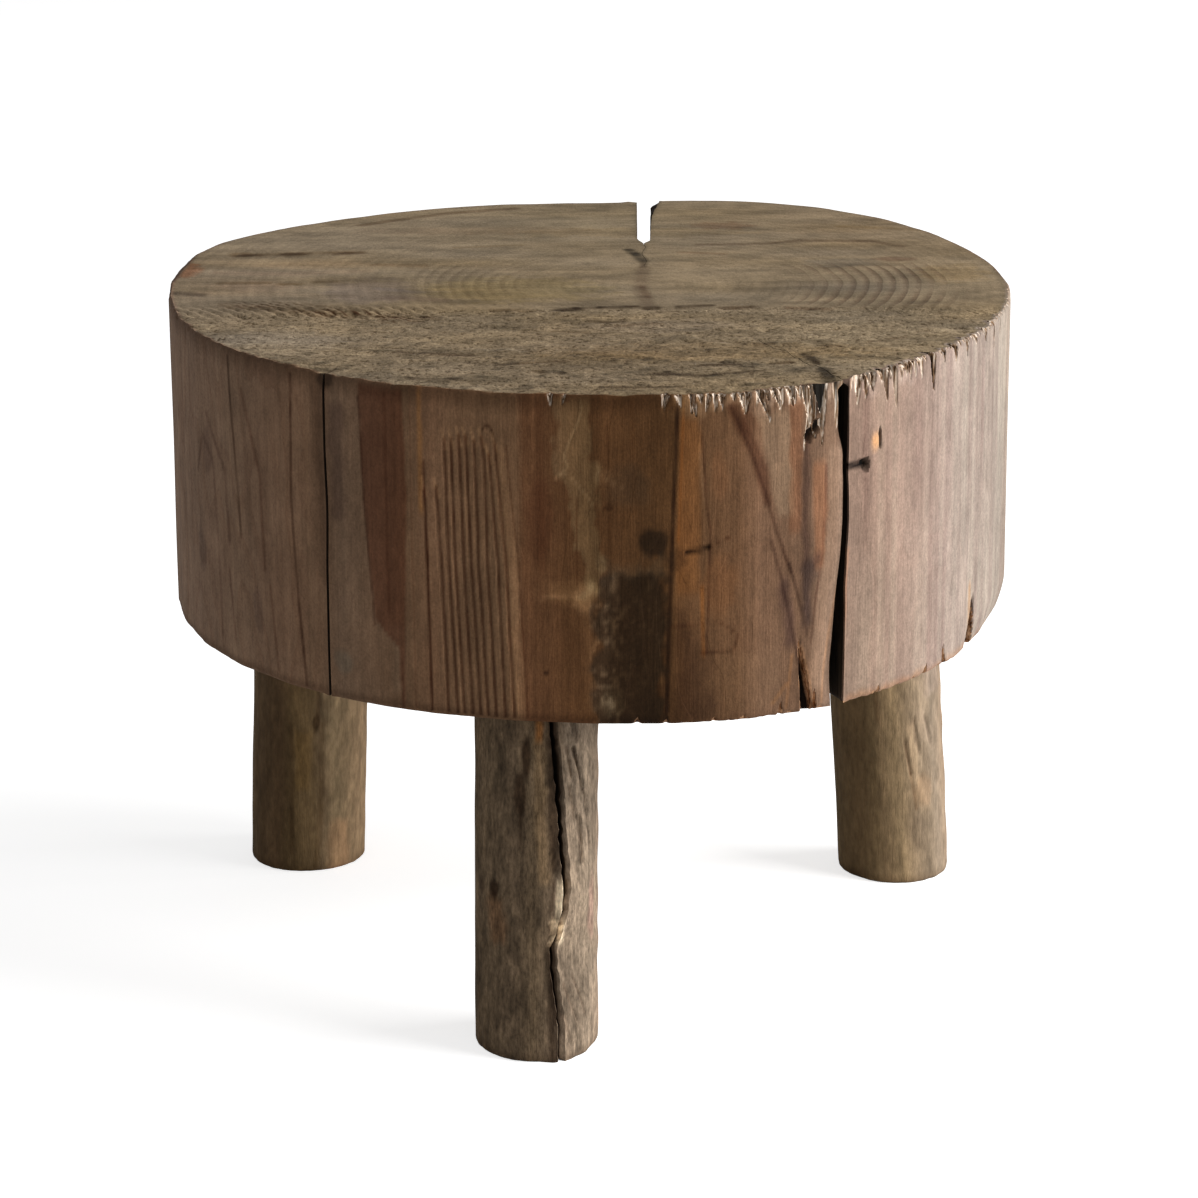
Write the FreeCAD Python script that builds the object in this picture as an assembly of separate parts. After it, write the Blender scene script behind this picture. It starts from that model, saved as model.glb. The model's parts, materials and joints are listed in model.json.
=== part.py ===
"""Low rustic stool: a thick slice of log, end grain up, on three splayed pole legs.

Millimetres, +Z up. The origin is on the floor under the middle of the seat, and -Y is the front.
Azimuths are in degrees about +Z, counted from the front (-Y) towards +X.
Each leg ends in a round tenon that sits in a blind mortise, spread there by a fox wedge.
"""

import FreeCAD
import Part
import math
import os

from FreeCAD import Placement, Rotation, Vector

# Seat
STOOL_HEIGHT = 240.0
SEAT_DIAMETER = 300.5       # of the round log, apart from its bulges
SEAT_THICKNESS = 113.5
BULGES = [                  # how far the log swells out or falls short, and over what angle each side
    dict(azimuth=25.0, swell=7.5, spread=22.0),
    dict(azimuth=145.0, swell=9.2, spread=26.0),
    dict(azimuth=178.0, swell=-8.5, spread=14.0),
    dict(azimuth=-160.0, swell=-3.5, spread=22.0),
    dict(azimuth=-115.0, swell=8.5, spread=17.0),
]
FLAT_EDGE_AZIMUTHS = [      # of the edges between the flats that a drawknife left round the side
    -174.0, -163.0, -151.0, -141.0, -130.0, -119.0, -107.0, -97.0, -86.0, -76.0, -65.5, -55.0,
    -43.5, -34.0, -27.0, -20.5, -10.5, 0.5, 10.5, 18.5, 28.0, 38.0, 47.0, 57.0, 68.0, 80.0,
    90.0, 102.0, 113.0, 123.0, 134.0, 146.0, 157.0, 166.0, 177.0,
]
ARRIS = 1.5                 # worn edge round the top and bottom of the seat

# Wane: a sloping flat left where the bark was, on the top edge
WANE_AZIMUTH = -96.0
WANE_WIDTH = 3.0            # of the top face that it takes
WANE_SLOPE = 35.0

# Drying checks in the seat: splits through its whole thickness, from the rim towards the off-centre pith
PITH_X = 20.4
PITH_Y = 6.4
CHECK_LIP_DEPTH = 4.0       # the corners of a mouth are broken away this far in, to the width of its lip
CHECK_TAIL_START = 5.0      # past its waist, a check narrows to its thin tail in this length
CHECKS = {
    "front": dict(azimuth=32.2, lip=5.5, mouth=4.0, waist=1.8, waist_depth=30.0, tail=0.9, depth=62.0),
    "rear": dict(azimuth=172.3, lip=10.5, mouth=4.2, waist=3.4, waist_depth=62.0, tail=1.4, depth=112.0),
    "left": dict(azimuth=-36.5, lip=1.4, mouth=1.4, waist=1.0, waist_depth=9.0, tail=0.7, depth=16.0),
}
CHECK_JOG = 0.7             # how far a check strays to each side of its straight line

# Legs
FOOT_ARRIS = 1.2
POLE_CORNER = 1.2           # a peeled pole isn't quite round: it is a triangle of this radius, rounded off
LEGS = {                    # inset: from the round log's rim to the foot's centre; diameter: over the corners
    "front": dict(azimuth=-9.4, inset=32.6, diameter=43.8, splay=2.5, corner_azimuth=20.0),
    "left": dict(azimuth=-122.9, inset=19.8, diameter=44.8, splay=2.3, corner_azimuth=75.0),
    "right": dict(azimuth=115.0, inset=22.5, diameter=43.2, splay=3.4, corner_azimuth=140.0),
}

# Drying check down one leg
LEG_CHECK_LEG = "front"
LEG_CHECK_AZIMUTH = 28.0    # on the leg, counted from its outer side
LEG_CHECK_MOUTH = 4.0
LEG_CHECK_DEPTH = 11.0

# Blind wedged tenons
TENON_DIAMETER = 30.0
TENON_LENGTH = 58.0
TENON_CHAMFER = 2.0
TENON_ROOT = 20.0           # how far the tenon's stock reaches down into the pole that it is cut on
TENON_CLEARANCE = 0.1       # radial, between tenon and mortise
MORTISE_END_GAP = 2.0       # room past the tenon's end
WEDGE_LENGTH = 34.0
WEDGE_BUTT = 4.5            # thickness at the end that the mortise drives
WEDGE_TIP = 1.4             # thickness at the tip, and width of the saw kerf
WEDGE_SIDE_CLEARANCE = 1.0  # between the wedge's edges and the mortise
KERF_PAST_WEDGE = 8.0       # kerf left open past the wedge's tip

# Derived places
SEAT_RADIUS = SEAT_DIAMETER / 2
SEAT_UNDERSIDE = STOOL_HEIGHT - SEAT_THICKNESS
PITH = Vector(PITH_X, PITH_Y, 0)
TENON_RADIUS = TENON_DIAMETER / 2
MORTISE_RADIUS = TENON_RADIUS + TENON_CLEARANCE
OVERCUT = 5.0               # how far cutters and stock run past what they cut
LEVEL = 1e-3                # height within which an edge counts as level

UP = Vector(0, 0, 1)
SIDEWAYS = Vector(1, 0, 0)


def outward(azimuth, distance):
    """The point of the floor at that azimuth and distance from the Z axis."""
    angle = math.radians(azimuth)
    return Vector(distance * math.sin(angle), -distance * math.cos(angle), 0)


def upright(outline, height):
    """A solid of that height, standing on a closed outline."""
    return Part.Face(Part.makePolygon(outline + outline[:1])).extrude(UP * height)


# Seat

def log_radius(azimuth):
    """The log's radius about its own centre, with its bulges."""
    radius = SEAT_RADIUS
    for bulge in BULGES:
        turn = (azimuth - bulge["azimuth"] + 180) % 360 - 180
        radius += bulge["swell"] * math.exp(-(turn / bulge["spread"]) ** 2)
    return radius


def hewn_corners():
    """Corners of the hewn flats, about the log's own centre."""
    return [outward(azimuth, log_radius(azimuth)) for azimuth in FLAT_EDGE_AZIMUTHS]


def log_centre():
    """Where the log's own centre has to lie for the middle of the seat's extent to be on the Z axis."""
    extent = Part.makePolygon(hewn_corners()).BoundBox
    return Vector(-extent.Center.x, -extent.Center.y, 0)


def rim_point(azimuth):
    return log_centre() + outward(azimuth, log_radius(azimuth))


def seat_blank():
    """The hewn slice before it split, with worn edges at the top and bottom."""
    foot_of_slice = log_centre() + UP * SEAT_UNDERSIDE
    slice_of_log = upright([foot_of_slice + corner for corner in hewn_corners()], SEAT_THICKNESS)
    level_edges = [edge for edge in slice_of_log.Edges if edge.BoundBox.ZLength < LEVEL]
    return slice_of_log.makeChamfer(ARRIS, level_edges)


def wane_cutter():
    """A block whose sloping underside takes the wane off the top edge."""
    corner = Vector(-SEAT_RADIUS, -SEAT_RADIUS, 0)
    block = Part.makeBox(SEAT_DIAMETER, SEAT_RADIUS, SEAT_THICKNESS, corner)
    edge = rim_point(WANE_AZIMUTH) - outward(WANE_AZIMUTH, WANE_WIDTH) + UP * STOOL_HEIGHT
    turn = Rotation(UP, WANE_AZIMUTH).multiply(Rotation(SIDEWAYS, WANE_SLOPE))
    block.Placement = Placement(edge, turn)
    return block


def check_cutter(azimuth, lip, mouth, waist, waist_depth, tail, depth):
    """The gap of a check whose mouth is at that azimuth: widest at the rim, with a thin tail."""
    stations = [
        (-OVERCUT, lip, 0.0),
        (0.0, lip, 0.0),
        (CHECK_LIP_DEPTH, mouth, 0.0),
        (waist_depth / 2, (mouth + waist) / 2, CHECK_JOG),
        (waist_depth, waist, -CHECK_JOG),
        (waist_depth + CHECK_TAIL_START, tail, -CHECK_JOG),
    ]
    one_side = [Vector(shift - width / 2, reach, 0) for reach, width, shift in stations]
    other_side = [Vector(shift + width / 2, reach, 0) for reach, width, shift in stations]
    tip = Vector(0, depth, 0)
    gap = upright(one_side + [tip] + other_side[::-1], SEAT_THICKNESS + 2 * OVERCUT)
    mouth_at = rim_point(azimuth)
    away = mouth_at - PITH
    turn = math.degrees(math.atan2(away.x, -away.y))
    gap.Placement = Placement(mouth_at + UP * (SEAT_UNDERSIDE - OVERCUT), Rotation(UP, turn))
    return gap


def seat_slab():
    cutters = [wane_cutter()]
    cutters += [check_cutter(**check) for check in CHECKS.values()]
    cutters += [mortise_cutter(leg) for leg in LEGS.values()]
    return seat_blank().cut(cutters)


# Legs: each is made upright, its foot's centre at the origin and its outer side to -Y, then placed

def leg_placement(leg):
    tilt = Rotation(UP, leg["azimuth"]).multiply(Rotation(SIDEWAYS, -leg["splay"]))
    return Placement(outward(leg["azimuth"], SEAT_RADIUS - leg["inset"]), tilt)


def placed(shape, leg):
    """A shape made upright, moved to where that leg stands."""
    shape.Placement = leg_placement(leg).multiply(shape.Placement)
    return shape


def shoulder_height(leg):
    """Length of the leg's axis from the floor to the seat's underside."""
    return SEAT_UNDERSIDE / math.cos(math.radians(leg["splay"]))


def under_seat_room(floor):
    """A block that fills the room from that height to the seat's underside."""
    side = 2 * SEAT_DIAMETER
    return Part.makeBox(side, side, SEAT_UNDERSIDE - floor, Vector(-side / 2, -side / 2, floor))


def pole_section(leg):
    """The pole's outline: round, but a little three-cornered."""
    corners = [outward(leg["corner_azimuth"] + 120 * corner, POLE_CORNER) for corner in range(3)]
    triangle = Part.Wire(Part.makePolygon(corners + corners[:1]))
    return triangle.makeOffset2D(leg["diameter"] / 2 - POLE_CORNER)


def pole(leg):
    """The leg's round stock, cut level at the floor and at the seat's underside."""
    start = -leg["diameter"] / 2
    stock = Part.Face(pole_section(leg)).extrude(UP * (shoulder_height(leg) - 2 * start))
    stock.translate(UP * start)
    placed(stock, leg)
    cut_level = stock.common(under_seat_room(0.0))
    foot_edges = [edge for edge in cut_level.Edges if edge.BoundBox.ZMax < LEVEL]
    return cut_level.makeChamfer(FOOT_ARRIS, foot_edges)


def tenon(leg):
    """Round tenon with a chamfered end, rooted in the pole so that the two are one piece."""
    start = shoulder_height(leg) - TENON_ROOT
    chamfer_start = shoulder_height(leg) + TENON_LENGTH - TENON_CHAMFER
    shank = Part.makeCylinder(TENON_RADIUS, chamfer_start - start, UP * start)
    nose = Part.makeCone(TENON_RADIUS, TENON_RADIUS - TENON_CHAMFER, TENON_CHAMFER, UP * chamfer_start)
    return placed(shank.fuse(nose), leg)


def mortise_cutter(leg):
    """Blind hole for the tenon, from under the seat to a little past the tenon's end."""
    start = shoulder_height(leg) - OVERCUT
    depth = TENON_LENGTH + MORTISE_END_GAP
    return placed(Part.makeCylinder(MORTISE_RADIUS, OVERCUT + depth, UP * start), leg)


def across_tenon(outline, width, leg):
    """A solid of that width across the tenon, from (thickness, height) corners about its axis."""
    corners = [Vector(-width / 2, thickness, height) for thickness, height in outline]
    return placed(Part.Face(Part.makePolygon(corners + corners[:1])).extrude(SIDEWAYS * width), leg)


def wedge_ends(leg):
    """Heights of the wedge's tip and of its butt, which the mortise's bottom drives."""
    butt = shoulder_height(leg) + TENON_LENGTH + MORTISE_END_GAP
    return butt - WEDGE_LENGTH, butt


def fox_wedge(leg):
    tip, butt = wedge_ends(leg)
    outline = [(-WEDGE_BUTT / 2, butt), (-WEDGE_TIP / 2, tip), (WEDGE_TIP / 2, tip), (WEDGE_BUTT / 2, butt)]
    half_chord = math.sqrt(MORTISE_RADIUS ** 2 - (WEDGE_BUTT / 2) ** 2)
    return across_tenon(outline, 2 * (half_chord - WEDGE_SIDE_CLEARANCE), leg)


def kerf_cutter(leg):
    """The saw kerf across the tenon's end, opened by the wedge."""
    tip, butt = wedge_ends(leg)
    end = tip - KERF_PAST_WEDGE
    one_side = [(-WEDGE_BUTT / 2, butt), (-WEDGE_TIP / 2, tip), (-WEDGE_TIP / 2, end)]
    other_side = [(-thickness, height) for thickness, height in one_side]
    return across_tenon(one_side + other_side[::-1], TENON_DIAMETER + 2 * OVERCUT, leg)


def leg_check_cutter(leg):
    """The gap of the drying check: a groove down the pole's face, which ends at the shoulder."""
    surface = leg["diameter"] / 2 + OVERCUT
    bottom = leg["diameter"] / 2 - LEG_CHECK_DEPTH
    half = LEG_CHECK_MOUTH / 2 * (surface - bottom) / LEG_CHECK_DEPTH
    corners = [Vector(-half, -surface, 0), Vector(0, -bottom, 0), Vector(half, -surface, 0)]
    groove = upright(corners, shoulder_height(leg) + 2 * OVERCUT)
    groove.translate(UP * -OVERCUT)
    groove.rotate(Vector(), UP, LEG_CHECK_AZIMUTH)
    return placed(groove, leg).common(under_seat_room(-OVERCUT))


def leg_solid(name):
    leg = LEGS[name]
    cutters = [kerf_cutter(leg)]
    if name == LEG_CHECK_LEG:
        cutters.append(leg_check_cutter(leg))
    return pole(leg).fuse(tenon(leg)).removeSplitter().cut(cutters)


def build():
    pieces = {"seat_slab": seat_slab()}
    for name, leg in LEGS.items():
        pieces["leg_" + name] = leg_solid(name)
        pieces["fox_wedge_" + name] = fox_wedge(leg)
    os.makedirs("parts", exist_ok=True)
    for name, shape in pieces.items():
        shape.exportStep("parts/" + name + ".step")
        volume = round(shape.Volume / 1000, 1)
        print(name, "solids", len(shape.Solids), "valid", shape.isValid(), "cm3", volume)


build()
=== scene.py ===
"""Looks of the low rustic stool: a thick slice of log with drying checks, on three peeled poles.

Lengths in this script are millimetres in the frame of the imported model, and meshes are scaled to metres.
Azimuths are in degrees, counted from the front (-Y) towards +X, about the log's centre or a leg's axis.
"""

import json
import math

import bmesh
import bpy
import numpy as np
from mathutils import Matrix, Vector
from mathutils.geometry import delaunay_2d_cdt
from mathutils.kdtree import KDTree


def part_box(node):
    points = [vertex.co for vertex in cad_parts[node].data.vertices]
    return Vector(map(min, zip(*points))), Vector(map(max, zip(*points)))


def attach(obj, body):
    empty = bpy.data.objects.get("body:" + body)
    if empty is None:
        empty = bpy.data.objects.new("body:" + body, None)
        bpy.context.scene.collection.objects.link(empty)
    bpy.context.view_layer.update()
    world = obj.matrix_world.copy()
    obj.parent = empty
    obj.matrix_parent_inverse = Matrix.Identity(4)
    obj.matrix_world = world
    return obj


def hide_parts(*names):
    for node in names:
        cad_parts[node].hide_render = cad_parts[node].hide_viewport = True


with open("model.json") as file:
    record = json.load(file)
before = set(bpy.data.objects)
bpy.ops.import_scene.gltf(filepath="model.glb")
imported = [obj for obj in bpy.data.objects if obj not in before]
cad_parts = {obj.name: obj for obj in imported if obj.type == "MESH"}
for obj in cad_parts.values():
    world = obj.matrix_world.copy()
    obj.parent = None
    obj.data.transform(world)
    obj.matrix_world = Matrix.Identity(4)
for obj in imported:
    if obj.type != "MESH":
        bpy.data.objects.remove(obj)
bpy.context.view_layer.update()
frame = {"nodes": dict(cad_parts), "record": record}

MM = 0.001

# Camera, as the photograph was taken
CAMERA_AT = (0.7, -1576.9, 612.5)
CAMERA_PITCH = 17.21
CAMERA_YAW = -0.09
CAMERA_ROLL = -0.28
CAMERA_LENS = 136.16
CAMERA_SENSOR = 36.0

# Light
WORLD_LIGHT = 0.25
KEY_AZIMUTH = 80.0
KEY_ELEVATION = 22.0
KEY_DISTANCE = 1.6          # metres, from where it aims
KEY_AIM = 0.15              # metres over the floor
KEY_SIZE = 1.3              # metres
KEY_POWER = 48.0            # watts
WOOD_GLOSS = 0.08           # low, because the wood is dry and has no finish
FLOOR_REACH = 6.0           # metres to each side
FLOOR_GREY = 0.8
FLOOR_GLOW = 0.72           # where the floor is seen directly, so that it is white and its shadow pale

# The slab
SEAT_LOW, SEAT_HIGH = (np.array(corner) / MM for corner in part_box("seat_slab"))
UNDERSIDE = SEAT_LOW[2]
TOP = SEAT_HIGH[2]
SLICE_AT = TOP - 30.0       # where its outline is taken: under the wane, over the mortises
LOG_CENTRE = np.array([0.76, 3.17])     # off the Z axis, which is in the middle of the seat's extent
LOG_RADIUS = 151.0
DEGREE = math.radians(1) * LOG_RADIUS     # length of a degree along the rim
PITH = np.array([20.4, 6.4])
WANE_AZIMUTH = -96.0
WANE_WIDTH = 2.0
WANE_SLOPE = 35.0
RING_WIDTH = 4.7            # of a year's growth, on the top
SIDE_RING_WIDTH = 3.4       # the same on the hewn side
EDGE_ROUNDING = (0.8, 1.5)  # depth and height of the round on both edges of the side
WORN_EDGE = (3.4, 13.0)     # depth and height to which the low right edge is worn away
WORN_START = (54, 72)       # azimuths between which that wear sets in
WORN_END = (112, 90)        # and the same from its other end
LEVELLED = 14.0             # height over which the side follows the sunken top
MORTISE_ROOM = 17.0         # farthest that a mortise's lining lies from the leg's axis
MORTISE_TOP = TOP - 40.0    # the linings all end under this
TOP_WOOD, SIDE_WOOD, WALL_WOOD, UNDER_WOOD = range(4)       # order of the slab's materials

# Mesh fineness
FINE_STEP = 0.5             # along the rim where it is seen best
REAR_STEP = 1.6
WALL_STEP = 1.6             # along the walls of the drying checks
ROW_STEP = 1.4
EDGE_ROWS = [0.0, 0.35, 0.8, 1.4, 2.1, 2.9, 3.8, 4.8]
TOP_STEP = 1.2
UNDER_STEP = 3.0
LEG_STEP = 0.55
LEG_WALL_STEP = 0.7
LEG_ROW = 1.3
LEG_EDGE_ROWS = [0.0, 0.3, 0.7, 1.2, 1.8, 2.6]
LEG_CAP_STEP = 2.0
TRIANGLE_HEIGHT = 0.866     # of a triangle with sides of 1, for the rows of points that fill a face
JITTER = 0.22               # share of a step by which those points are moved
RIM_ROOM = 0.6              # share of a step that they keep from the rim
JOINED = 1e-6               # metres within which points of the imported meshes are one
STRAIGHT = 0.002            # sine of the bend up to which an outline counts as straight
SHARP_TURN = 25             # degrees of bend from which a corner of the outline is sharp
WALL_LEAN = 0.45            # share of an edge along the way to the centre, from which it is a check's wall
ROUNDINGS = 24              # times that the outline's corners are smoothed

# The poles
FOOT_ROUNDING = (1.1, 1.6)  # depth and height of the round on a foot's edge
LEG_CHECK_AZIMUTH = 18.6
LEG_CHECK_MOUTH = 4.0
LEG_CHECK_DEPTH = 11.0
LEG_CHECK_SUNK = 0.55       # how far its lips lie under the pole's surface
# The check is painted dark inside, as its shade, and quite dark from this depth on.
LEG_DARK_DEPTH = 5.0        # depth from which it is quite dark inside
# The share of it that has closed up, and how far it strays towards +X, both by height
LEG_CHECK_CLOSED = [
    (0, 0.9), (17, 0.86), (29, 0.78), (38, 0.66), (43, 0.84), (48, 0.96), (58, 0.85), (67, 0.66), (86, 0.58),
    (104, 0.52), (127, 0.52),
]
LEG_CHECK_STRAY = [
    (0, 1.2), (17, 0.5), (34, -1.6), (40, -1.9), (54, 2.0), (60, 2.8), (67, 2.6), (86, 1.2), (104, 0.0),
    (127, -2.0),
]
TENON_COLOUR = (0.2, 0.14, 0.09)
OVER_SHOULDER = 0.02        # height over the pole's shoulder at which its tenon begins

# Notches torn out of the top and bottom rim: azimuth, width, length, bite, and how much they lean
TOP_TEARS = [
    (26.6, 3.0, 15.0, 2.4, 0.12), (27.6, 2.2, 20.0, 2.8, 0.06), (28.9, 5.4, 12.0, 11.0, 0.0),
    (29.3, 3.2, 22.0, 4.0, -0.05), (31.0, 2.4, 18.0, 3.2, 0.0), (28.0, 4.0, 24.0, 1.6, -0.18),
    (24.6, 2.6, 7.0, 2.0, 0.15), (22.6, 2.0, 9.0, 2.2, 0.3), (20.6, 2.6, 12.0, 2.4, 0.35),
    (18.2, 2.2, 7.0, 1.8, 0.2), (15.8, 2.4, 5.0, 1.8, 0.1), (12.2, 2.2, 9.0, 2.0, 0.2),
    (35.0, 2.0, 12.0, 2.6, -0.1), (36.6, 2.4, 6.0, 2.0, 0.1), (41.2, 3.4, 15.0, 2.8, 0.08),
    (44.4, 2.6, 6.0, 2.0, 0.0), (49.5, 4.2, 14.0, 4.5, 0.05), (52.4, 2.2, 5.0, 2.5, 0.0),
    (55.4, 3.0, 6.0, 3.0, 0.1), (58.9, 3.2, 5.5, 3.2, 0.0), (62.0, 2.4, 4.0, 2.4, 0.0),
    (65.3, 2.8, 5.0, 2.6, 0.0), (68.9, 2.8, 12.0, 2.6, 0.0), (73.0, 2.0, 14.0, 1.6, 0.0),
    (39.4, 3.4, 11.0, 4.0, 0.1), (36.0, 3.0, 9.0, 3.0, 0.0), (-5.2, 2.4, 5.0, 1.2, 0.1),
    (-3.4, 1.6, 4.0, 1.0, -0.2),
]
LOW_TEARS = [
    (27.2, 4.6, 25.0, 5.5, -0.13), (28.4, 2.6, 8.0, 3.0, 0.0), (23.6, 2.2, 4.5, 1.6, 0.0),
    (38.6, 2.6, 3.2, 1.8, 0.2), (48.6, 3.0, 3.6, 2.2, 0.4), (53.6, 3.2, 8.0, 2.4, -0.1),
    (62.0, 9.5, 18.0, 13.0, 0.0), (5.5, 3.0, 2.4, 1.6, 0.0), (9.0, 2.2, 1.8, 1.4, 0.0),
    (15.0, 1.8, 2.2, 1.2, 0.0),
]
# Grooves of the raised grain, each as places of azimuth and height
FURROWS = [
    [(-20.1, 206), (-19.6, 180), (-18.8, 128)], [(-18.9, 222), (-18.6, 180), (-17.6, 128)],
    [(-18.0, 223), (-17.7, 180), (-16.7, 128)], [(-16.9, 224), (-16.6, 181), (-15.6, 128)],
    [(-16.0, 224), (-15.6, 181), (-14.5, 128)], [(-14.9, 223), (-14.6, 181), (-13.5, 128)],
    [(-14.0, 224), (-13.6, 216), (-13.4, 181), (-12.4, 128)], [(-13.0, 218), (-12.0, 182), (-11.2, 128)],
    [(-12.2, 222), (-10.9, 182), (-10.0, 128)], [(-21.7, 205), (-21.1, 128)],
]
FURROW_WIDTH = 0.7
FURROW_DEPTH = 0.45
# Small holes: from and to, as azimuth and height, half width and depth
PITS = [
    ((33.0, 209.2), (35.8, 208.5), 1.1, 3.0), ((35.8, 208.5), (36.0, 208.4), 1.7, 4.0),
    ((38.4, 219.0), (38.5, 213.5), 0.6, 1.6), ((11.6, 186.3), (14.3, 186.8), 0.7, 0.8),
    ((27.0, 222.0), (28.6, 226.0), 1.5, 2.6),
]
# Stretches of small notches: seed, first and last azimuth, and ranges of their widths, lengths and bites
FRINGES = [
    (21, 9.0, 47.0, (1.1, 3.4), (1.6, 8.0), (0.8, 2.6)),
    (22, 47.0, 88.0, (1.0, 2.4), (0.8, 2.4), (0.3, 0.9)),
]
LOW_NICKS = (23, 9.0, 80.0, (1.4, 6.0), (0.5, 2.0), (0.2, 0.8))
CHECK_BITE = 0.4            # share of a notch's bite that reaches into a check
TORN_BITE = 0.8             # bite from which the wood looks freshly torn
# Notches are painted darker the deeper they bite, as the shade in them.
DEEP_BITE = 4.2             # bite from which it is dark

# Drying checks, which all run from the rim to the pith: the azimuth of the mouth of each
FRONT_CHECK = 32.2
LEFT_CHECK = -36.5
REAR_CHECK = 172.3
CLOSED = 0.95               # share of their width that has closed up again where they end on the top
FRONT_OPEN = -3.0           # how far in from the rim they begin to close; below 0, they do from the rim on
LEFT_OPEN = -6.0
REAR_OPEN = 72.0
LEFT_CLOSED = 0.72          # least share of the left one's closing, at any height
LEFT_WANDER = 0.9           # how far the left one wanders sideways down the side
REAR_LEFT = (18.9, 18.1)    # X of the rear one's two walls, at the rim and where it closes
REAR_RIGHT = (24.1, 23.2)
REAR_CHIP = (4.0, 46.0)     # width and length of the chip broken off its lip
REAR_LIP = 28.5             # X up to which the rim moves with the chip

# The open mouth of the front check strays along its height: millimetres towards +X at either side
MOUTH_HEIGHTS = [127.0, 142.0, 164.0, 179.0, 191.0, 205.0, 214.0, 222.0, 240.0]
MOUTH_LEFT = [-1.4, -1.9, 0.0, 1.7, 2.4, 2.6, 2.1, 0.6, 0.0]
MOUTH_RIGHT = [-1.1, -0.8, -0.8, -0.5, 0.4, 0.0, 0.0, 0.0, 0.0]
MOUTH_REACH = 34.0          # how far in from the rim that shows


def lattice(cells, seed):
    """A repeatable random number from -1 to 1 for each cell of a lattice."""
    x, y, z = (cells[..., axis].astype(np.int64).astype(np.uint32) for axis in range(3))
    mixed = x * np.uint32(0x9E3779B1) + y * np.uint32(0x85EBCA77) + z * np.uint32(0xC2B2AE3D)
    mixed = mixed + np.uint32(seed * 0x27D4EB2F & 0xFFFFFFFF)
    mixed = (mixed ^ (mixed >> np.uint32(15))) * np.uint32(0x2C1B3C6D)
    mixed = (mixed ^ (mixed >> np.uint32(12))) * np.uint32(0x297A2D39)
    mixed = mixed ^ (mixed >> np.uint32(15))
    return mixed.astype(np.float64) / 0x7FFFFFFF - 1.0


def noise(points, sizes, seed):
    """Smooth noise from -1 to 1 at the points, with lumps of about those sizes along X, Y and Z."""
    scaled = np.asarray(points, float) / np.asarray(sizes, float)
    base = np.floor(scaled)
    share = scaled - base
    share = share * share * (3 - 2 * share)
    total = np.zeros(scaled.shape[:-1])
    for corner in np.ndindex(2, 2, 2):
        weight = np.prod(np.where(np.array(corner) == 1, share, 1 - share), axis=-1)
        total += weight * lattice(base + np.array(corner), seed)
    return total


def ease(value, start, end):
    """0 before start, 1 after end, and smooth between them."""
    share = np.clip((np.asarray(value, float) - start) / (end - start), 0, 1)
    return share * share * (3 - 2 * share)


def outward(azimuth):
    """The level way out at that azimuth, of length 1."""
    angle = math.radians(azimuth)
    return np.array([math.sin(angle), -math.cos(angle)])


def azimuth_of(away):
    """Azimuths of the level ways away from a centre."""
    return np.degrees(np.arctan2(away[..., 0], -away[..., 1]))


def azimuths(points):
    """Azimuths of the points about the log's centre."""
    return azimuth_of(points[..., :2] - LOG_CENTRE)


def at_height(level, height):
    """Points of a level plane, at that height."""
    return np.column_stack([level, np.full(len(level), height)])


def degree_on(local):
    """Length of a degree round a pole, from its points about its axis."""
    return math.radians(np.hypot(*local.T).max())


# Outlines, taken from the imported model

def packed_mesh(node):
    """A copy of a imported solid's mesh, with its doubled points joined."""
    mesh = bmesh.new()
    mesh.from_mesh(frame["nodes"][node].data)
    bmesh.ops.remove_doubles(mesh, verts=mesh.verts, dist=JOINED)
    return mesh


def section(node, height):
    """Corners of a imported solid's outline at that height, counter-clockwise from its +X end."""
    cut = packed_mesh(node)
    everything = cut.verts[:] + cut.edges[:] + cut.faces[:]
    sliced = bmesh.ops.bisect_plane(cut, geom=everything, plane_co=(0, 0, height * MM), plane_no=(0, 0, 1))
    edges = [item for item in sliced["geom_cut"] if isinstance(item, bmesh.types.BMEdge)]
    joined = {}
    for edge in edges:
        for vertex in edge.verts:
            joined.setdefault(vertex, []).append(edge)
    start = max(joined, key=lambda vertex: vertex.co.x)
    ring, vertex, edge = [start], start, joined[start][0]
    while True:
        vertex = edge.other_vert(vertex)
        if vertex is start:
            break
        ring.append(vertex)
        edge = next(other for other in joined[vertex] if other is not edge)
    points = np.array([v.co[:2] for v in ring]) / MM
    cut.free()
    before = points - np.roll(points, 1, axis=0)
    after = np.roll(points, -1, axis=0) - points
    turn = before[:, 0] * after[:, 1] - before[:, 1] * after[:, 0]
    bend = np.abs(turn) / (np.linalg.norm(before, axis=1) * np.linalg.norm(after, axis=1))
    points = points[bend > STRAIGHT]
    area = np.sum(points[:, 0] * np.roll(points[:, 1], -1) - np.roll(points[:, 0], -1) * points[:, 1])
    return points if area > 0 else points[::-1]


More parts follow.
